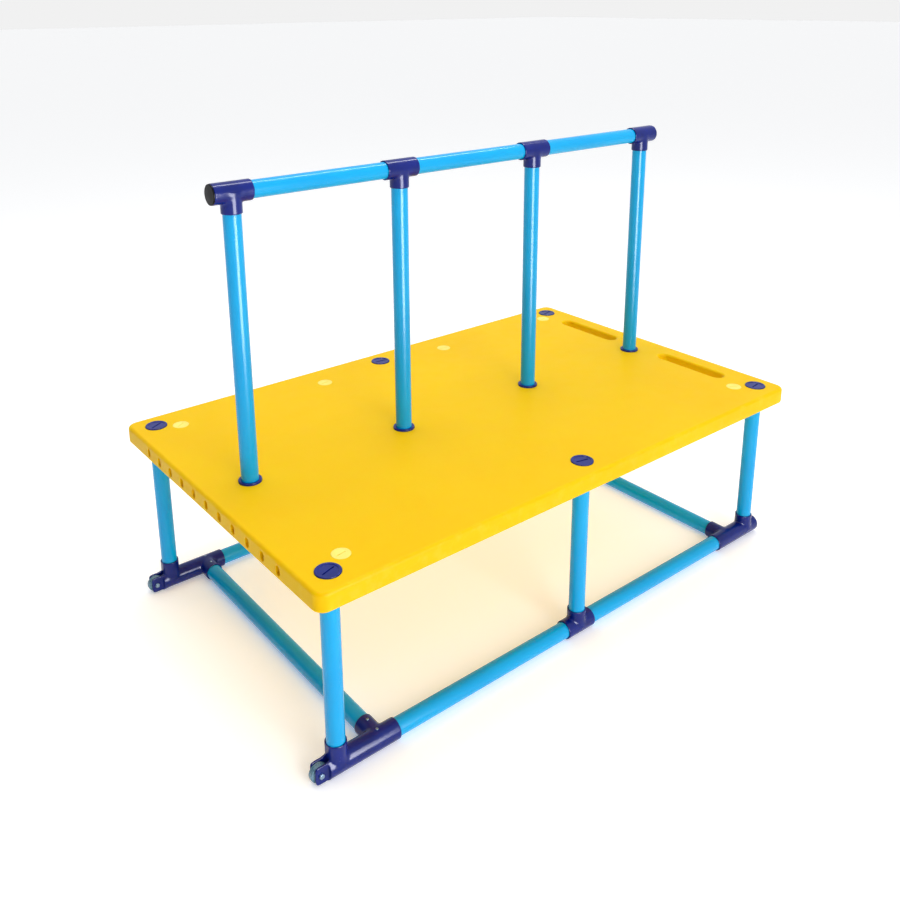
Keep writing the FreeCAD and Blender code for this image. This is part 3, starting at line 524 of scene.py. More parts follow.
def make_tube(node, body, tree):
    """Reads a tube's place and direction from its box and sweeps the finished one there."""
    low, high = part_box(node)
    span = high - low
    axis = max(range(3), key=lambda k: span[k])
    length = span[axis]
    outer = span[(axis + 1) % 3] / 2
    turn = ((0, math.pi / 2, 0), (math.pi / 2, 0, 0), (0, 0, 0))[axis]
    mesh = bake_nodes(node, bpy.data.meshes.new("empty"), tree, Length=length, Outer_radius=outer,
                      Bore_radius=outer - TUBE_WALL, Rim=RIM_ROUND,
                      Place=tuple(middle_of(node)), Turn=turn, Paint=tube_blue)
    return finish_piece(to_object(node + "_tube", mesh), body, tube_blue, node)


straight_tube = tube_tree()
tubes = [make_tube(node, body, straight_tube)
         for body, members in frame["record"]["behaviour"]["bodies"].items()
         for node in members
         if node.startswith(("leg_near", "leg_far", "base_tube", "cross_tube", "rail_post", "rail_tube"))]
print(len(tubes), "tubes,", sum(len(tube.data.polygons) for tube in tubes), "faces")

# %% [markdown]
# ## Moulded fittings
#
# The sockets that join the tubes are the platform's most sculpted parts: round arms that melt
# into one another with a small fillet.  Booleans give that join a hard seam, so the fittings are
# grown from a distance field instead.  Each arm is the distance to a rod, a smooth minimum joins
# the arms, and a smooth maximum takes the sockets out with rounded mouths.  A volume sampled from
# the field becomes the mesh.  The field is laid out from each node's own box.

# %% Fields for fittings
CELL = 1.3 * MM       # the volume's cells
LEVEL = 10 * MM       # added to every distance, so that the surface lies inside the volume's range
FILLET = 7 * MM       # where two arms melt into one another
RIM = 2.6 * MM        # round edge of a mouth
SOCKET = 21.2 * MM    # radius that takes a tube
STOP = 23 * MM        # from the centre to the shoulder that a tube's end meets
CORE = 17 * MM        # radius of the hollow past that shoulder
PAST = 10 * MM        # how far a socket's cut runs out of the mouth
THIN = 0.2 * MM       # a branch is that much thinner than the run
AXES = {"X": Vector((1, 0, 0)), "Y": Vector((0, 1, 0)), "Z": Vector((0, 0, 1))}


def vector_sum(tree, operation, first, second, output="Vector"):
    node = tree.nodes.new("ShaderNodeVectorMath")
    node.operation = operation
    plug(tree, node.inputs[0], first)
    plug(tree, node.inputs[1], second)
    return node.outputs[output]


def rod_field(tree, place, start, end, radius, edge=RIM):
    """Distance to a rod along one axis, with its end edges rounded."""
    along = (end - start).normalized()
    offset = vector_sum(tree, "SUBTRACT", place, (start + end) / 2)
    past = calc(tree, "ABSOLUTE", vector_sum(tree, "DOT_PRODUCT", offset, along, "Value"))
    flat = vector_sum(tree, "MULTIPLY", offset, Vector((1, 1, 1)) - Vector(map(abs, along)))
    across = add(tree, "ShaderNodeVectorMath", "Value", {"operation": "LENGTH"}, Vector=flat)
    return calc(tree, "SMOOTH_MAX", calc(tree, "SUBTRACT", across, radius),
                calc(tree, "SUBTRACT", past, (end - start).length / 2), edge)


def slab_field(tree, place, middle, half, edge):
    """Distance to a block, with its edges rounded."""
    offset = vector_sum(tree, "SUBTRACT", place, middle)
    size = vector_sum(tree, "SUBTRACT", vector_sum(tree, "ABSOLUTE", offset, (0, 0, 0)), half)
    parts = add(tree, "ShaderNodeSeparateXYZ", "X", Vector=size).node.outputs
    sides = calc(tree, "SMOOTH_MAX", parts["X"], parts["Z"], edge)
    return calc(tree, "SMOOTH_MAX", sides, parts["Y"], RIM)


def fitting_tree(name, solids, hollows):
    """The tree of one fitting: solids are joined with fillets, then the hollows are cut out."""
    tree, given, result = new_tree(name, (
        ("Low", "Vector"), ("High", "Vector"), ("Cells X", "Int"), ("Cells Y", "Int"),
        ("Cells Z", "Int"), ("Fillet", "Float"), ("Rim", "Float"), ("Paint", "Material"),
    ))
    place = add(tree, "GeometryNodeInputPosition")
    body = None
    for field, *numbers in solids:
        grown = field(tree, place, *numbers)
        body = grown if body is None else calc(tree, "SMOOTH_MIN", body, grown, given["Fillet"])
    for field, *numbers in hollows:
        cut = calc(tree, "MULTIPLY", field(tree, place, *numbers), -1.0)
        body = calc(tree, "SMOOTH_MAX", body, cut, given["Rim"])
    density = calc(tree, "SUBTRACT", LEVEL, body)
    cloud = add(tree, "GeometryNodeVolumeCube", "Volume", Density=density, Min=given["Low"],
                Max=given["High"], Resolution_X=given["Cells X"], Resolution_Y=given["Cells Y"],
                Resolution_Z=given["Cells Z"])
    shell = add(tree, "GeometryNodeVolumeToMesh", "Mesh", Volume=cloud, Threshold=LEVEL)
    painted = add(tree, "GeometryNodeSetMaterial", "Geometry", Geometry=shell, Material=given["Paint"])
    plug(tree, result.inputs["Geometry"], painted)
    return tree


def arm(centre, axis, reach, less=0.0):
    """A fitting's arm and the socket in it, from the fitting's centre to the arm's mouth."""
    way = AXES[axis[-1]] * (-1 if axis[0] == "-" else 1)
    mouth = centre + way * reach
    outer = RUN_RADIUS - less
    return ((rod_field, centre, mouth, outer),
            [(rod_field, centre + way * STOP, mouth + way * PAST, SOCKET),
             (rod_field, centre, mouth, CORE)])


def grow_fitting(node, body, solids, hollows):
    low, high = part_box(node)
    margin = Vector((3, 3, 3)) * CELL
    low, high = low - margin, high + margin
    counts = [math.ceil(side / CELL) for side in high - low]
    tree = fitting_tree(node, solids, hollows)
    mesh = bake_nodes(node, bpy.data.meshes.new("empty"), tree, Low=tuple(low), High=tuple(high),
                      Cells_X=counts[0], Cells_Y=counts[1], Cells_Z=counts[2], Fillet=FILLET,
                      Rim=RIM, Paint=fitting_navy)
    return finish_piece(to_object(node + "_moulding", mesh), body, fitting_navy, node, crisp=False)


RUN_RADIUS = (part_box("rail_tee_1")[1].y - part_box("rail_tee_1")[0].y) / 2
print("fittings are", round(RUN_RADIUS / MM, 1), "mm in radius")

# %% [markdown]
# ## Tees
#
# A tee is one straight arm through and one to the side.  The four under the handrail open down,
# and the two on the base open up and stand on a narrow flat land.

# %% Tees
GROUND = (slab_field, Vector((0, 0, -50 * MM)), Vector((2, 2, 50 * MM)), RIM)


def axis_height(ground):
    """Height of the base tubes' axes over the ground."""
    return middle_of("base_tube_near_wheel_end").z - ground


def make_tee(node, body, branch):
    low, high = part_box(node)
    middle = middle_of(node)
    middle.z = high.z - RUN_RADIUS if branch == "-Z" else low.z + axis_height(low.z)
    reach = (high.x - low.x) / 2
    left, left_hollows = arm(middle, "-X", reach)
    right, right_hollows = arm(middle, "+X", reach)
    side, side_hollows = arm(middle, branch, reach, THIN)
    run = (rod_field, left[2], right[2], RUN_RADIUS)
    hollows = left_hollows + right_hollows + side_hollows
    if branch == "+Z":
        hollows.append(GROUND)
    return grow_fitting(node, body, [run, side], hollows)


tees = [make_tee("rail_tee_%d" % number, "handrail", "-Z") for number in range(1, 5)]
tees += [make_tee("base_tee_" + side, "platform", "+Z") for side in ("near", "far")]
print(len(tees), "tees,", len(tees[0].data.polygons), "faces each")

# %% [markdown]
# ## Corner fittings and wheel feet
#
# Each of the four base fittings takes a leg, a long base tube and a cross tube.  At the hand-hold
# end the run is closed by a flat face with a soft edge.  At the wheel end it carries a fork: a
# rounded block with a slot for the wheel.

# %% Corners and feet
FOOT_REACH = 58 * MM          # leg socket of a wheel foot
CORNER_REACH = 47.5 * MM      # leg socket of a corner
CROSS_REACH = 56 * MM         # socket of the cross tube
SOCKET_DEEP = 25 * MM         # how far the long tube goes in
END_ROUND = 9 * MM            # soft edge of a corner's closed end
RUN_END = 28 * MM             # a foot's run goes on that far past the leg, then the fork begins
FORK_OVERLAP = 6 * MM
FORK_HALF = (13 * MM, 21.5 * MM)
FORK_MIDDLE = 24.5 * MM       # height of the fork's middle
FORK_ROUND = 14 * MM
SLOT_HALF = Vector((30 * MM, 8 * MM, 60 * MM))
SLOT_ROOT = 5 * MM
BOLT_HOLE = 4.1 * MM
BOLT_REACH = 40 * MM


def make_base_fitting(node, leg, cross, leg_reach):
    """The parts that corners and feet share, laid out from the boxes of the tubes they hold."""
    leg_middle = middle_of(leg)
    axis_z = axis_height(0.0)
    corner = Vector((leg_middle.x, leg_middle.y, axis_z))
    crossing = Vector((middle_of(cross).x, leg_middle.y, axis_z))
    low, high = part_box(node)
    mouth = Vector((low.x if corner.x > 0 else high.x, leg_middle.y, axis_z))
    inward = "-Y" if leg_middle.y > 0 else "+Y"
    up, up_hollows = arm(corner, "+Z", leg_reach, THIN)
    side, side_hollows = arm(crossing, inward, CROSS_REACH, THIN)
    return corner, mouth, [up, side], up_hollows + side_hollows


def long_tube_socket(mouth, corner):
    """The socket of the long base tube, from the run's mouth towards the leg."""
    way = AXES["X"] * (1 if corner.x > mouth.x else -1)
    return [(rod_field, mouth - way * PAST, mouth + way * SOCKET_DEEP, SOCKET),
            (rod_field, mouth, corner, CORE)]


def make_corner(side):
    node = "base_corner_" + side
    corner, mouth, arms, hollows = make_base_fitting(
        node, "leg_%s_hand_end" % side, "cross_tube_hand_end", CORNER_REACH)
    end = corner.copy()
    end.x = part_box(node)[1].x
    run = (rod_field, mouth, end, RUN_RADIUS, END_ROUND)
    hollows += long_tube_socket(mouth, corner)
    return grow_fitting(node, "platform", [run] + arms, hollows + [GROUND])


def make_foot(side):
    node = "wheel_foot_" + side
    corner, mouth, arms, hollows = make_base_fitting(
        node, "leg_%s_wheel_end" % side, "cross_tube_wheel_end", FOOT_REACH)
    end = corner - AXES["X"] * RUN_END
    run = (rod_field, end, mouth, RUN_RADIUS)
    fork_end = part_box(node)[0].x
    fork_root = end.x + SLOT_ROOT
    half = Vector(((fork_root + FORK_OVERLAP - fork_end) / 2, *FORK_HALF))
    fork = (slab_field, Vector((fork_end + half.x, corner.y, FORK_MIDDLE)), half, FORK_ROUND)
    slot_middle = Vector((fork_root - SLOT_HALF.x, corner.y, FORK_MIDDLE))
    slot = (slab_field, slot_middle, SLOT_HALF, RIM)
    axle = middle_of("wheel_tyre_" + side)
    across = AXES["Y"] * BOLT_REACH
    bore = (rod_field, axle - across, axle + across, BOLT_HOLE)
    hollows += long_tube_socket(mouth, corner)
    return grow_fitting(node, "platform", [run] + arms + [fork], hollows + [slot, bore, GROUND])


base_fittings = [make_corner("near"), make_corner("far"), make_foot("near"), make_foot("far")]
print(len(base_fittings), "base fittings,", [len(piece.data.polygons) for piece in base_fittings], "faces")

# %% [markdown]
# ## Turned parts
#
# Caps, collars, plugs and wheels are round.  Each starts as a profile whose corners carry their
# own rounding, and the profile is carried round an axis as rings of points joined by skins.  Flat
# faces with holes in them, such as a cap's face round its coin slot, are filled between rings.

# %% Rings and profiles
def soft(corners, closed=False, steps=4):
    """A profile from (radius, height, rounding) corners, with each corner's arc worked out."""
    points = []
    for k, (radius, height, rounding) in enumerate(corners):
        here = Vector((radius, height))
        if rounding == 0 or (not closed and k in (0, len(corners) - 1)):
            points.append(here)
            continue
        back = (Vector(corners[k - 1][:2]) - here).normalized()
        fore = (Vector(corners[(k + 1) % len(corners)][:2]) - here).normalized()
        half = back.angle(fore) / 2
        centre = here + (back + fore).normalized() * rounding / math.sin(half)
        start = here + back * rounding / math.tan(half) - centre
        end = here + fore * rounding / math.tan(half) - centre
        sweep = start.angle(end)
        for step in range(steps + 1):
            share = step / steps
            points.append(centre + (start * math.sin((1 - share) * sweep)
                                    + end * math.sin(share * sweep)) / math.sin(sweep))
    return points


def oblong(half_x, half_y, rounding, steps=8, grow=0.0):
    """Points round a rectangle with rounded corners, anticlockwise, from its middle."""
    points = []
    round_off = rounding + grow
    for quarter, (side_x, side_y) in enumerate(((1, 1), (-1, 1), (-1, -1), (1, -1))):
        for step in range(steps + 1):
            angle = math.radians(90) * (quarter + step / steps)
            point = Vector((side_x * (half_x - rounding) + round_off * math.cos(angle),
                            side_y * (half_y - rounding) + round_off * math.sin(angle)))
            if not points or (point - points[-1]).length > 1e-7:
                points.append(point)
    if (points[0] - points[-1]).length < 1e-7:
        points.pop()
    return points


def disc(radius, steps=96):
    """Points round a circle, anticlockwise."""
    turns = [2 * math.pi * step / steps for step in range(steps)]
    return [Vector((radius * math.cos(turn), radius * math.sin(turn))) for turn in turns]


def ring(shape, outline, height, x=0.0, y=0.0):
    """A closed ring of corners at one height."""
    return [shape.verts.new((x + point.x, y + point.y, height)) for point in outline]


def skin(shape, *rings):
    """Faces between each ring and the next."""
    for lower, upper in zip(rings, rings[1:]):
        for k in range(len(lower)):
            shape.faces.new((lower[k - 1], lower[k], upper[k], upper[k - 1]))


def fill(shape, *rings, normal=(0, 0, 1)):
    """A flat face inside the first ring, with the other rings as holes in it."""
    edges = []
    for loop in rings:
        for k in range(len(loop)):
            edges.append(shape.edges.get((loop[k - 1], loop[k])) or shape.edges.new((loop[k - 1], loop[k])))
    bmesh.ops.triangle_fill(shape, edges=edges, use_beauty=True, normal=normal)


def turned(shape, profile, steps=96):
    """Rings along a profile, joined by skins.  Gives back the rings."""
    rings = [ring(shape, disc(point.x, steps), point.y) for point in profile]
    skin(shape, *rings)
    return rings


def to_mesh(shape, name):
    bmesh.ops.recalc_face_normals(shape, faces=shape.faces)
    mesh = bpy.data.meshes.new(name)
    shape.to_mesh(mesh)
    shape.free()
    return mesh


def finish_shape(shape, name, body, paint, *stands_for):
    """Makes a drawn shape the finished piece that stands for the nodes."""
    return finish_piece(to_object(name, to_mesh(shape, name)), body, paint, *stands_for)


def slotted_top(shape, rim, slot_half, slot_wide, top, deep):
    """Fills a ring with a flat face and sinks a round-ended coin slot into it."""
    mouth, edge, foot = (
        ring(shape, oblong(slot_half, slot_wide, slot_wide * 0.8, 6, grow), height)
        for grow, height in ((0.5 * MM, top), (0.0, top - 0.5 * MM), (0.0, top - deep))
    )
    fill(shape, rim, mouth)
    skin(shape, mouth, edge, foot)
    fill(shape, foot)


print("profiles and rings ready")

# %% [markdown]
# ## Copies of one shape
#
# The six leg caps are one moulding, and so are the collars, the plugs and the lock screws.  Each
# is modelled once and copied to its places by a node tree.  The places are a small mesh of points
# read from the boxes of the nodes, and every point carries its own turn, since nobody lines up
# coin slots when tightening them.

# %% Copying tree
def copies_tree():
    tree, given, result = new_tree("copies of a moulding", (
        ("Moulding", "Object"), ("Paint", "Material"),
    ))
    original = add(tree, "GeometryNodeObjectInfo", "Geometry", Object=given["Moulding"])
    turn = add(tree, "GeometryNodeInputNamedAttribute", "Attribute", {"data_type": "FLOAT"}, Name="turn")
    spin = add(tree, "ShaderNodeCombineXYZ", "Vector", Z=turn)
    spread_out = add(tree, "GeometryNodeInstanceOnPoints", "Instances", Points=given["Geometry"],
                     Instance=original, Rotation=spin)
    real = add(tree, "GeometryNodeRealizeInstances", "Geometry", Geometry=spread_out)
    painted = add(tree, "GeometryNodeSetMaterial", "Geometry", Geometry=real, Material=given["Paint"])
    plug(tree, result.inputs["Geometry"], painted)
    return tree


copies = copies_tree()


def make_copies(name, moulding, places, turns, body, paint, nodes):
    """Copies a mesh to each place, turned in degrees, as one piece that stands for the nodes."""
    points = bpy.data.meshes.new(name + "_places")
    points.from_pydata([tuple(place) for place in places], [], [])
    marks = points.attributes.new("turn", "FLOAT", "POINT")
    marks.data.foreach_set("value", [math.radians(turn) for turn in turns])
    original = to_object(name + "_original", moulding)
    mesh = bake_nodes(name, points, copies, Moulding=original, Paint=paint)
    bpy.data.objects.remove(original)
    return finish_piece(to_object(name, mesh), body, paint, *nodes)


def foot_of(node):
    """The middle of a node's box, at the box's lowest level."""
    low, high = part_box(node)
    return Vector(((low.x + high.x) / 2, (low.y + high.y) / 2, low.z))


print("copying tree ready")

# %% [markdown]
# ## Leg caps
#
# A cap is a broad screw with a flat rim round a shallow dish.  The dish holds the coin slot.  The
# cap sits in a recess of the deck, so a thin dark gap shows round it.

# %% Leg caps
LEGS = [side + "_" + end for side in ("near", "far") for end in ("wheel_end", "middle", "hand_end")]
CAP_TURNS = (17, -12, 8, 28, -6, 12)
DECK_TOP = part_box("deck")[1].z
CAP_RECESS = 2.5 * MM
DISH = 1.5 * MM


def cap_moulding():
    shape = bmesh.new()
    seat = 0.1 * MM
    top = 4.5 * MM
    rings = turned(shape, soft((
        (6 * MM, seat, 0), (28.3 * MM, seat, 0.4 * MM), (28.3 * MM, top, 1.1 * MM),
        (22.6 * MM, top, 0.6 * MM), (20.9 * MM, top - DISH, 0.9 * MM),
        (19.4 * MM, top - DISH, 0),
    )))
    fill(shape, rings[0])
    slotted_top(shape, rings[-1], 17.4 * MM, 1.7 * MM, top - DISH, 2.3 * MM)
    return to_mesh(shape, "leg_cap_shape")


def recess_floor(node):
    spot = foot_of(node)
    spot.z = DECK_TOP - CAP_RECESS
    return spot


leg_caps = make_copies("leg_caps", cap_moulding(), [recess_floor("leg_cap_" + leg) for leg in LEGS],
                       CAP_TURNS, "platform", fitting_navy, ["leg_cap_" + leg for leg in LEGS])
print("leg caps:", len(leg_caps.data.polygons), "faces")

# %% [markdown]
# ## Post collars and socket plugs
#
# The collars line the handrail's sockets: a sleeve down through the deck, with a flange on top.
# The spare sockets are closed by pale plugs, which have a coin slot too.

# %% Collars and plugs
COLLARS = ["post_collar_%d" % number for number in range(1, 5)]
PLUGS = sorted(node for node in frame["nodes"] if node.startswith("socket_plug_"))
PLUG_TURNS = (20, -15, 35, 5, -25, 10)


def collar_moulding():
    shape = bmesh.new()
    deep, flange = 45 * MM, 51 * MM
    rings = turned(shape, soft((
        (21.4 * MM, 3 * MM, 0), (15.4 * MM, 3 * MM, 0.5 * MM), (15.4 * MM, 0, 0.5 * MM),
        (24.4 * MM, 0, 0.5 * MM), (24.4 * MM, deep, 0), (28.2 * MM, deep, 0.3 * MM),
        (28.2 * MM, flange, 1.8 * MM), (21.4 * MM, flange, 1.0 * MM), (21.4 * MM, deep, 0),
    )))
    skin(shape, rings[-1], rings[0])
    return to_mesh(shape, "collar_shape")


def plug_moulding():
    shape = bmesh.new()
    top = 23.3 * MM
    rings = turned(shape, soft((
        (18.3 * MM, 18 * MM, 0), (18.3 * MM, 0, 0.4 * MM), (21.2 * MM, 0, 0.4 * MM),
        (21.2 * MM, top, 1.0 * MM), (16.6 * MM, top, 0.5 * MM), (15.9 * MM, top - 0.7 * MM, 0.5 * MM),
        (14.6 * MM, top - 0.7 * MM, 0),
    )))
    fill(shape, rings[0])
    slotted_top(shape, rings[-1], 12.4 * MM, 1.5 * MM, top - 0.7 * MM, 2.0 * MM)
    return to_mesh(shape, "plug_shape")


collars = make_copies("post_collars", collar_moulding(), [foot_of(node) for node in COLLARS],
                      [0] * 4, "platform", fitting_navy, COLLARS)
plugs = make_copies("socket_plugs", plug_moulding(), [foot_of(node) for node in PLUGS],
                    PLUG_TURNS, "platform", plug_yellow, PLUGS)
print("collars:", len(collars.data.polygons), "faces; plugs:", len(plugs.data.polygons), "faces")

# %% [markdown]
# ## Handrail end caps
#
# The rail ends in two push-in caps.  Each has a thin rim over the tee's mouth and a slightly domed
# face.  The one at the wheel end is painted near-black: painted shade for the navy cap, which
# falls into shade at the wheel end.

# %% End caps
CAP_PROUD = 3.8 * MM
DOME_FALL = 0.8 * MM


def make_end_cap(node, out, paint):
    """A cap modelled along +Z from the tee's mouth, then laid along the rail."""
    low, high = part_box(node)
    shape = bmesh.new()
    dome = [(radius * MM, CAP_PROUD - DOME_FALL * (radius / 20) ** 2, 0) for radius in (18, 14, 9, 4, 1)]
    rings = turned(shape, soft([
        (1 * MM, -18 * MM, 0), (17.4 * MM, -18 * MM, 1 * MM), (17.4 * MM, 0, 0),
        (23.9 * MM, 0, 0.3 * MM), (23.9 * MM, 3 * MM, 1.6 * MM),
    ] + dome))
    fill(shape, rings[0])
    fill(shape, rings[-1])
    way = Vector((out, 0, 0))
    mouth = Vector((high.x - CAP_PROUD if out > 0 else low.x + CAP_PROUD,
                    (low.y + high.y) / 2, (low.z + high.z) / 2))
    shape.transform(Matrix.Translation(mouth) @ way.to_track_quat("Z", "Y").to_matrix().to_4x4())
    return finish_shape(shape, node + "_moulding", "handrail", paint, node)


# The black finish on the wheel-end cap is painted shade, standing for the navy cap in shade.
end_caps = [make_end_cap("rail_end_cap_wheel_end", -1, cap_black),
            make_end_cap("rail_end_cap_hand_end", 1, fitting_navy)]
print("end caps:", [len(cap.data.polygons) for cap in end_caps], "faces")

# %% [markdown]
# ## Wheels and their bolts
#
# A wheel is a soft tyre on a harder hub.  The tyre's sides dip a little between the tread and the
# hub, and a fine ridge runs round the tread where the mould parts.  A hexagon bolt with a
# chamfered head holds the wheel in its fork, with a nut on the inner side.

# %% Wheels
def laid_along_y(shape, node, way=1, spin=0):
    """Spins a shape on its own Z, lays that along Y and moves it to the middle of a node's box."""
    turn = Matrix.Rotation(math.radians(90 * way), 4, "X") @ Matrix.Rotation(math.radians(spin), 4, "Z")
    shape.transform(Matrix.Translation(middle_of(node)) @ turn)


def make_wheel_part(node, body, corners, paint):
    shape = bmesh.new()
    rings = turned(shape, soft(corners, closed=True, steps=5))
    skin(shape, rings[-1], rings[0])
    laid_along_y(shape, node)
    return finish_shape(shape, node + "_moulding", body, paint, node)


TYRE = (
    (12.5 * MM, -6.9 * MM, 0.6 * MM), (16.8 * MM, -6.3 * MM, 2 * MM), (21 * MM, -7.2 * MM, 2.4 * MM),
    (20.9 * MM, -0.5 * MM, 0), (21.1 * MM, 0, 0), (20.9 * MM, 0.5 * MM, 0),
    (21 * MM, 7.2 * MM, 2.4 * MM), (16.8 * MM, 6.3 * MM, 2 * MM), (12.5 * MM, 6.9 * MM, 0.6 * MM),
)
HUB = (
    (4.05 * MM, -7.6 * MM, 0.3 * MM), (7.5 * MM, -7.6 * MM, 0.5 * MM), (8.3 * MM, -6.6 * MM, 0.4 * MM),
    (11.3 * MM, -6.6 * MM, 0.4 * MM), (11.9 * MM, -7.4 * MM, 0.3 * MM), (12.5 * MM, -7.4 * MM, 0.2 * MM),
    (12.5 * MM, 7.4 * MM, 0.2 * MM), (11.9 * MM, 7.4 * MM, 0.3 * MM), (11.3 * MM, 6.6 * MM, 0.4 * MM),
    (8.3 * MM, 6.6 * MM, 0.4 * MM), (7.5 * MM, 7.6 * MM, 0.5 * MM), (4.05 * MM, 7.6 * MM, 0.3 * MM),
)
for side in ("near", "far"):
    make_wheel_part("wheel_tyre_" + side, "wheel_" + side, TYRE, tyre_blue)
    make_wheel_part("wheel_hub_" + side, "wheel_" + side, HUB, hub_blue)


HEX_RADIUS = 6.5 * MM
HEAD_TALL = 4.5 * MM
HEX_BEVEL = 0.6 * MM


def hex_block(shape, low, high):
    """A hexagon head or nut whose corners are chamfered towards its outer face."""
    levels = ((0, low), (0, high - HEX_BEVEL), (0.35 * MM, high - HEX_BEVEL / 3), (1.0 * MM, high))
    loops = [ring(shape, disc(HEX_RADIUS - pull, 6), height) for pull, height in levels]
    skin(shape, *loops)
    fill(shape, loops[0])
    fill(shape, loops[-1])


def make_bolt(side):
    """A bolt along Y: its head outboard of the fork, its shank through the wheel."""
    node = "axle_bolt_" + side
    low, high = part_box(node)
    out = 1 if low.y > 0 else -1
    length = high.y - low.y
    shape = bmesh.new()
    under_head = length / 2 - HEAD_TALL
    hex_block(shape, under_head, length / 2)
    shank = turned(shape, soft((
        (1 * MM, -length / 2, 0), (4 * MM, -length / 2, 0.6 * MM), (4 * MM, under_head, 0),
    )), 48)
    fill(shape, shank[0])
    fill(shape, shank[-1])
    laid_along_y(shape, node, -out, 14)
    return finish_shape(shape, node + "_steel", "platform", bright_steel, node)


def make_nut(side):
    node = "axle_nut_" + side
    low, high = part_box(node)
    out = 1 if low.y > 0 else -1
    shape = bmesh.new()
    tall = (high.y - low.y) / 2
    hex_block(shape, -tall, tall)
    laid_along_y(shape, node, out, 5)
    return finish_shape(shape, node + "_steel", "platform", bright_steel, node)


bolts = [make(side) for side in ("near", "far") for make in (make_bolt, make_nut)]
print("two wheels and", len(bolts), "bolts and nuts")

# %% [markdown]
# ## Lock screws
#
# Four small pan-head screws pin the tubes in the wheel feet.  Each head has a cross recess.

# %% Lock screws
def screw_head():
    shape = bmesh.new()
    rings = turned(shape, soft((
        (1.5 * MM, -2 * MM, 0), (1.5 * MM, 0, 0), (3.3 * MM, 0, 0.1 * MM), (3.3 * MM, 1.2 * MM, 0.8 * MM),
        (2.3 * MM, 1.9 * MM, 0),
    )), 48)
    fill(shape, rings[0])
    half, arm_half = 1.6 * MM, 0.4 * MM
    cross = [Vector(point) for point in (
        (half, -arm_half), (half, arm_half), (arm_half, arm_half), (arm_half, half),
        (-arm_half, half), (-arm_half, arm_half), (-half, arm_half), (-half, -arm_half),
        (-arm_half, -arm_half), (-arm_half, -half), (arm_half, -half), (arm_half, -arm_half),
    )]
    mouth = ring(shape, cross, 1.9 * MM)
    floor_ring = ring(shape, cross, 0.9 * MM)
    fill(shape, rings[-1], mouth)
    skin(shape, mouth, floor_ring)
    fill(shape, floor_ring)
    return to_mesh(shape, "screw_head_shape")


SCREW_X = middle_of("cross_tube_wheel_end").x
SCREW_Y = abs(middle_of("leg_near_wheel_end").y)
SCREW_STEP = 37.5 * MM
CROWN = axis_height(0.0) + RUN_RADIUS - 0.4 * MM
screw_places = [Vector((SCREW_X, sign * (SCREW_Y - step), CROWN)) for sign in (-1, 1)
                for step in (0.0, SCREW_STEP)]
lock_screws = make_copies("lock_screw_heads", screw_head(), screw_places, (12, 40, -20, 65),
                          "platform", bright_steel, ["lock_screws"])
print("lock screws:", len(lock_screws.data.polygons), "faces")

# %% [markdown]
# ## Deck
#
# The deck's skin is built outline by outline.  Rings of a rounded rectangle climb its edge from
# the underside's soft edge to the fuller one on top, and each flat face is then filled between the
# outer ring and the rings of everything that opens in it: hand holds, cap recesses, collar seats,
# plug sockets, leg sockets and drain holes.  The notches in the wheel end are sunk from its flat
# middle in the same way, in a loop.

# %% Deck
def arc_steps(radius, steps=6):
    """How far an edge's rounding has pulled in, and how far it has climbed, step by step."""
    turns = [math.radians(90) * step / steps for step in range(steps + 1)]
    return [(radius * (1 - math.cos(turn)), radius * math.sin(turn)) for turn in turns]


DECK_LOW, DECK_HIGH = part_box("deck")
UNDER = DECK_LOW.z
CORNER_ROUND = 28 * MM
UNDER_ROUND = 6 * MM
TOP_ROUND = 9 * MM
CAP_HOLE = 29.1 * MM
LEG_HOLE = 21.2 * MM
PLUG_HOLE = 21.3 * MM
SLEEVE_HOLE = 24.5 * MM
FLANGE_SEAT = 28.8 * MM
DRAIN_HOLE = 4 * MM
GRIP_PLACE = (722 * MM, 212 * MM)
GRIP_HALF = (20 * MM, 118 * MM)
GRIP_ROUND = 7 * MM
DRAIN_PLACE = (525 * MM, 200 * MM)
NOTCHES = 11
NOTCH_STEP = 67.2 * MM
NOTCH_DOWN = 24 * MM          # from the deck's top to a notch's middle
NOTCH_HALF = (8 * MM, 12 * MM)
NOTCH_DEEP = 9 * MM


def deck_hull(shape):
    """The outer wall from under to top.  Gives back its lowest and its highest ring."""
    outline = (DECK_HIGH.x, DECK_HIGH.y, CORNER_ROUND)
    levels = [(-pull, UNDER + UNDER_ROUND - climb) for pull, climb in reversed(arc_steps(UNDER_ROUND))]
    levels += [(-pull, DECK_TOP - TOP_ROUND + climb) for pull, climb in arc_steps(TOP_ROUND, 8)]
    rings = [ring(shape, oblong(*outline, steps=10, grow=pull), height) for pull, height in levels]
    skin(shape, *rings)
    return rings[0], rings[-1]


def hand_hold(shape, x, y):
    """A through slot with full round edges above and below."""
    levels = [(GRIP_ROUND - climb, UNDER + pull) for pull, climb in arc_steps(GRIP_ROUND)]
    levels += [(pull, DECK_TOP - GRIP_ROUND + climb) for pull, climb in arc_steps(GRIP_ROUND)]
    rings = [ring(shape, oblong(*GRIP_HALF, GRIP_HALF[0], steps=12, grow=out), height, x, y)
             for out, height in levels]
    skin(shape, *rings)
    return rings[0], rings[-1]


def pit(shape, x, y, steps, closed=True, wide=64):
    """A round pit from a face inwards: (radius, height) steps, its mouth first."""
    rings = [ring(shape, disc(radius, wide), height, x, y) for radius, height in steps]
    skin(shape, *rings)
    if closed:
        fill(shape, rings[-1])
    return rings[0], rings[-1]


def sunk(radius, bottom, edge=0.6 * MM, top=None, inward=-1):
    """Steps of a pit whose mouth has a small round edge."""
    top = DECK_TOP if top is None else top
    return [(radius + edge, top), (radius + 0.3 * edge, top + inward * 0.3 * edge),
            (radius, top + inward * edge), (radius, bottom)]


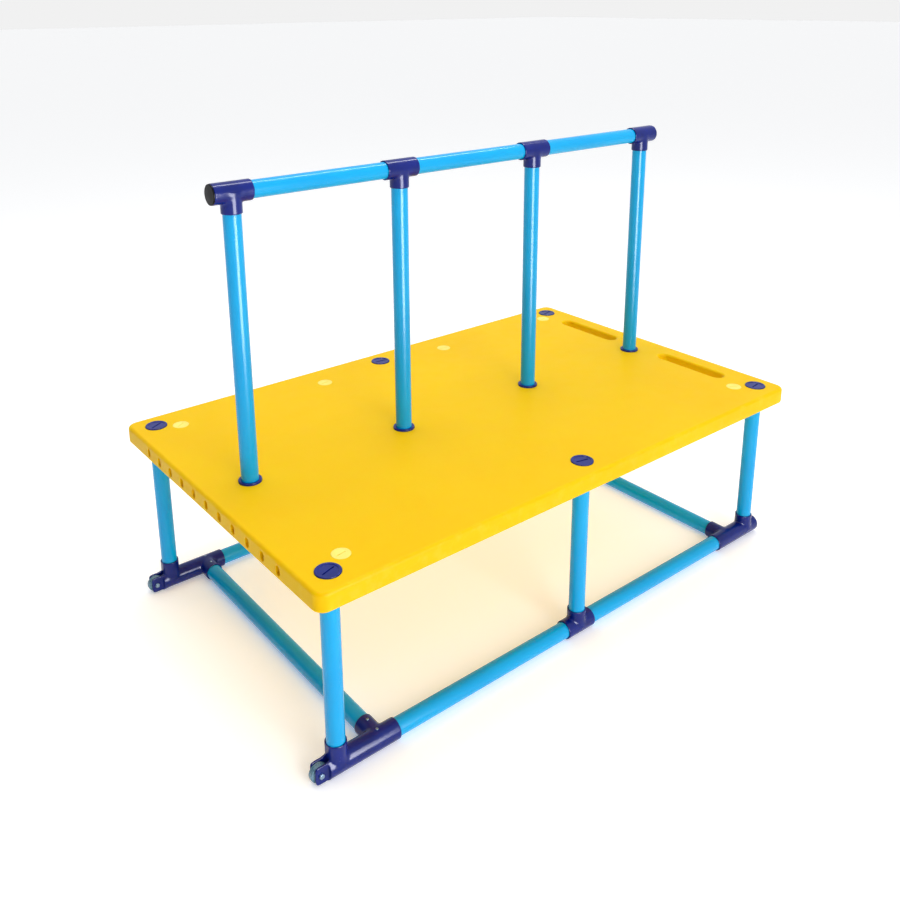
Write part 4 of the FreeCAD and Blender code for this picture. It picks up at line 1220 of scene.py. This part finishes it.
def deck_notches(shape):
    """Replaces the flat middle of the wheel end by one with eleven notches sunk into it."""
    x = DECK_LOW.x
    flat = [face for face in shape.faces if face.calc_center_median().x < x + 1e-5
            and face.calc_area() > 0.01]
    border = {edge for face in flat for edge in face.edges}
    bmesh.ops.delete(shape, geom=flat, context="FACES_ONLY")
    mouths = []
    levels = ((0.8 * MM, 0), (0.25 * MM, 0.25 * MM), (0, 0.8 * MM), (0, NOTCH_DEEP))
    for number in range(NOTCHES):
        y = (number - (NOTCHES - 1) / 2) * NOTCH_STEP
        z = DECK_TOP - NOTCH_DOWN
        rings = [[shape.verts.new((x + depth, y + point.x, z + point.y)) for point in
                  oblong(*NOTCH_HALF, NOTCH_HALF[0], 8, grow)] for grow, depth in levels]
        skin(shape, *rings)
        fill(shape, rings[-1], normal=(1, 0, 0))
        mouths.append(rings[0])
    edges = list(border)
    for mouth in mouths:
        edges += [shape.edges.get((mouth[k - 1], mouth[k])) for k in range(len(mouth))]
    bmesh.ops.triangle_fill(shape, edges=edges, use_beauty=True, normal=(-1, 0, 0))


def make_deck():
    shape = bmesh.new()
    low_ring, high_ring = deck_hull(shape)
    above, below = [high_ring], [low_ring]
    for sign in (-1, 1):
        under, over = hand_hold(shape, GRIP_PLACE[0], sign * GRIP_PLACE[1])
        below.append(under)
        above.append(over)
        for way in (-1, 1):
            below.append(pit(shape, way * DRAIN_PLACE[0], sign * DRAIN_PLACE[1],
                             sunk(DRAIN_HOLE, UNDER + 4.5 * MM, 0.4 * MM, UNDER, 1), wide=32)[0])
    for leg in LEGS:
        spot = foot_of("leg_" + leg)
        above.append(pit(shape, spot.x, spot.y, sunk(CAP_HOLE, DECK_TOP - CAP_RECESS), wide=96)[0])
        below.append(pit(shape, spot.x, spot.y,
                         sunk(LEG_HOLE, DECK_TOP - 7.9 * MM, 0.5 * MM, UNDER, 1))[0])
    for node in PLUGS:
        spot = foot_of(node)
        above.append(pit(shape, spot.x, spot.y, sunk(PLUG_HOLE, DECK_TOP - 36 * MM, 0.5 * MM))[0])
    for node in COLLARS:
        spot = foot_of(node)
        seat = [(FLANGE_SEAT + 0.4 * MM, DECK_TOP), (FLANGE_SEAT, DECK_TOP - 0.4 * MM),
                (FLANGE_SEAT, DECK_TOP - 1 * MM), (SLEEVE_HOLE, DECK_TOP - 1 * MM), (SLEEVE_HOLE, UNDER)]
        mouth, under = pit(shape, spot.x, spot.y, seat, closed=False)
        above.append(mouth)
        below.append(under)
    fill(shape, *above)
    fill(shape, *below, normal=(0, 0, -1))
    deck_notches(shape)
    return finish_shape(shape, "deck_moulding", "platform", deck_yellow, "deck")


deck = make_deck()
print("deck:", len(deck.data.polygons), "faces")

# %% [markdown]
# ## What stays from the frame
#
# The bored inserts inside the leg tops keep their own shape, since nothing of them shows.  They
# get the same moulded finish as the fittings, so no plain part is left anywhere.

# %% Finishes on carried-over parts
for node in frame["nodes"].values():
    if not node.hide_render:
        for holder in node.material_slots:
            holder.material = fitting_navy
        print("kept", node.name)

# %% Sizes
print("frame box", cad_low, cad_high)
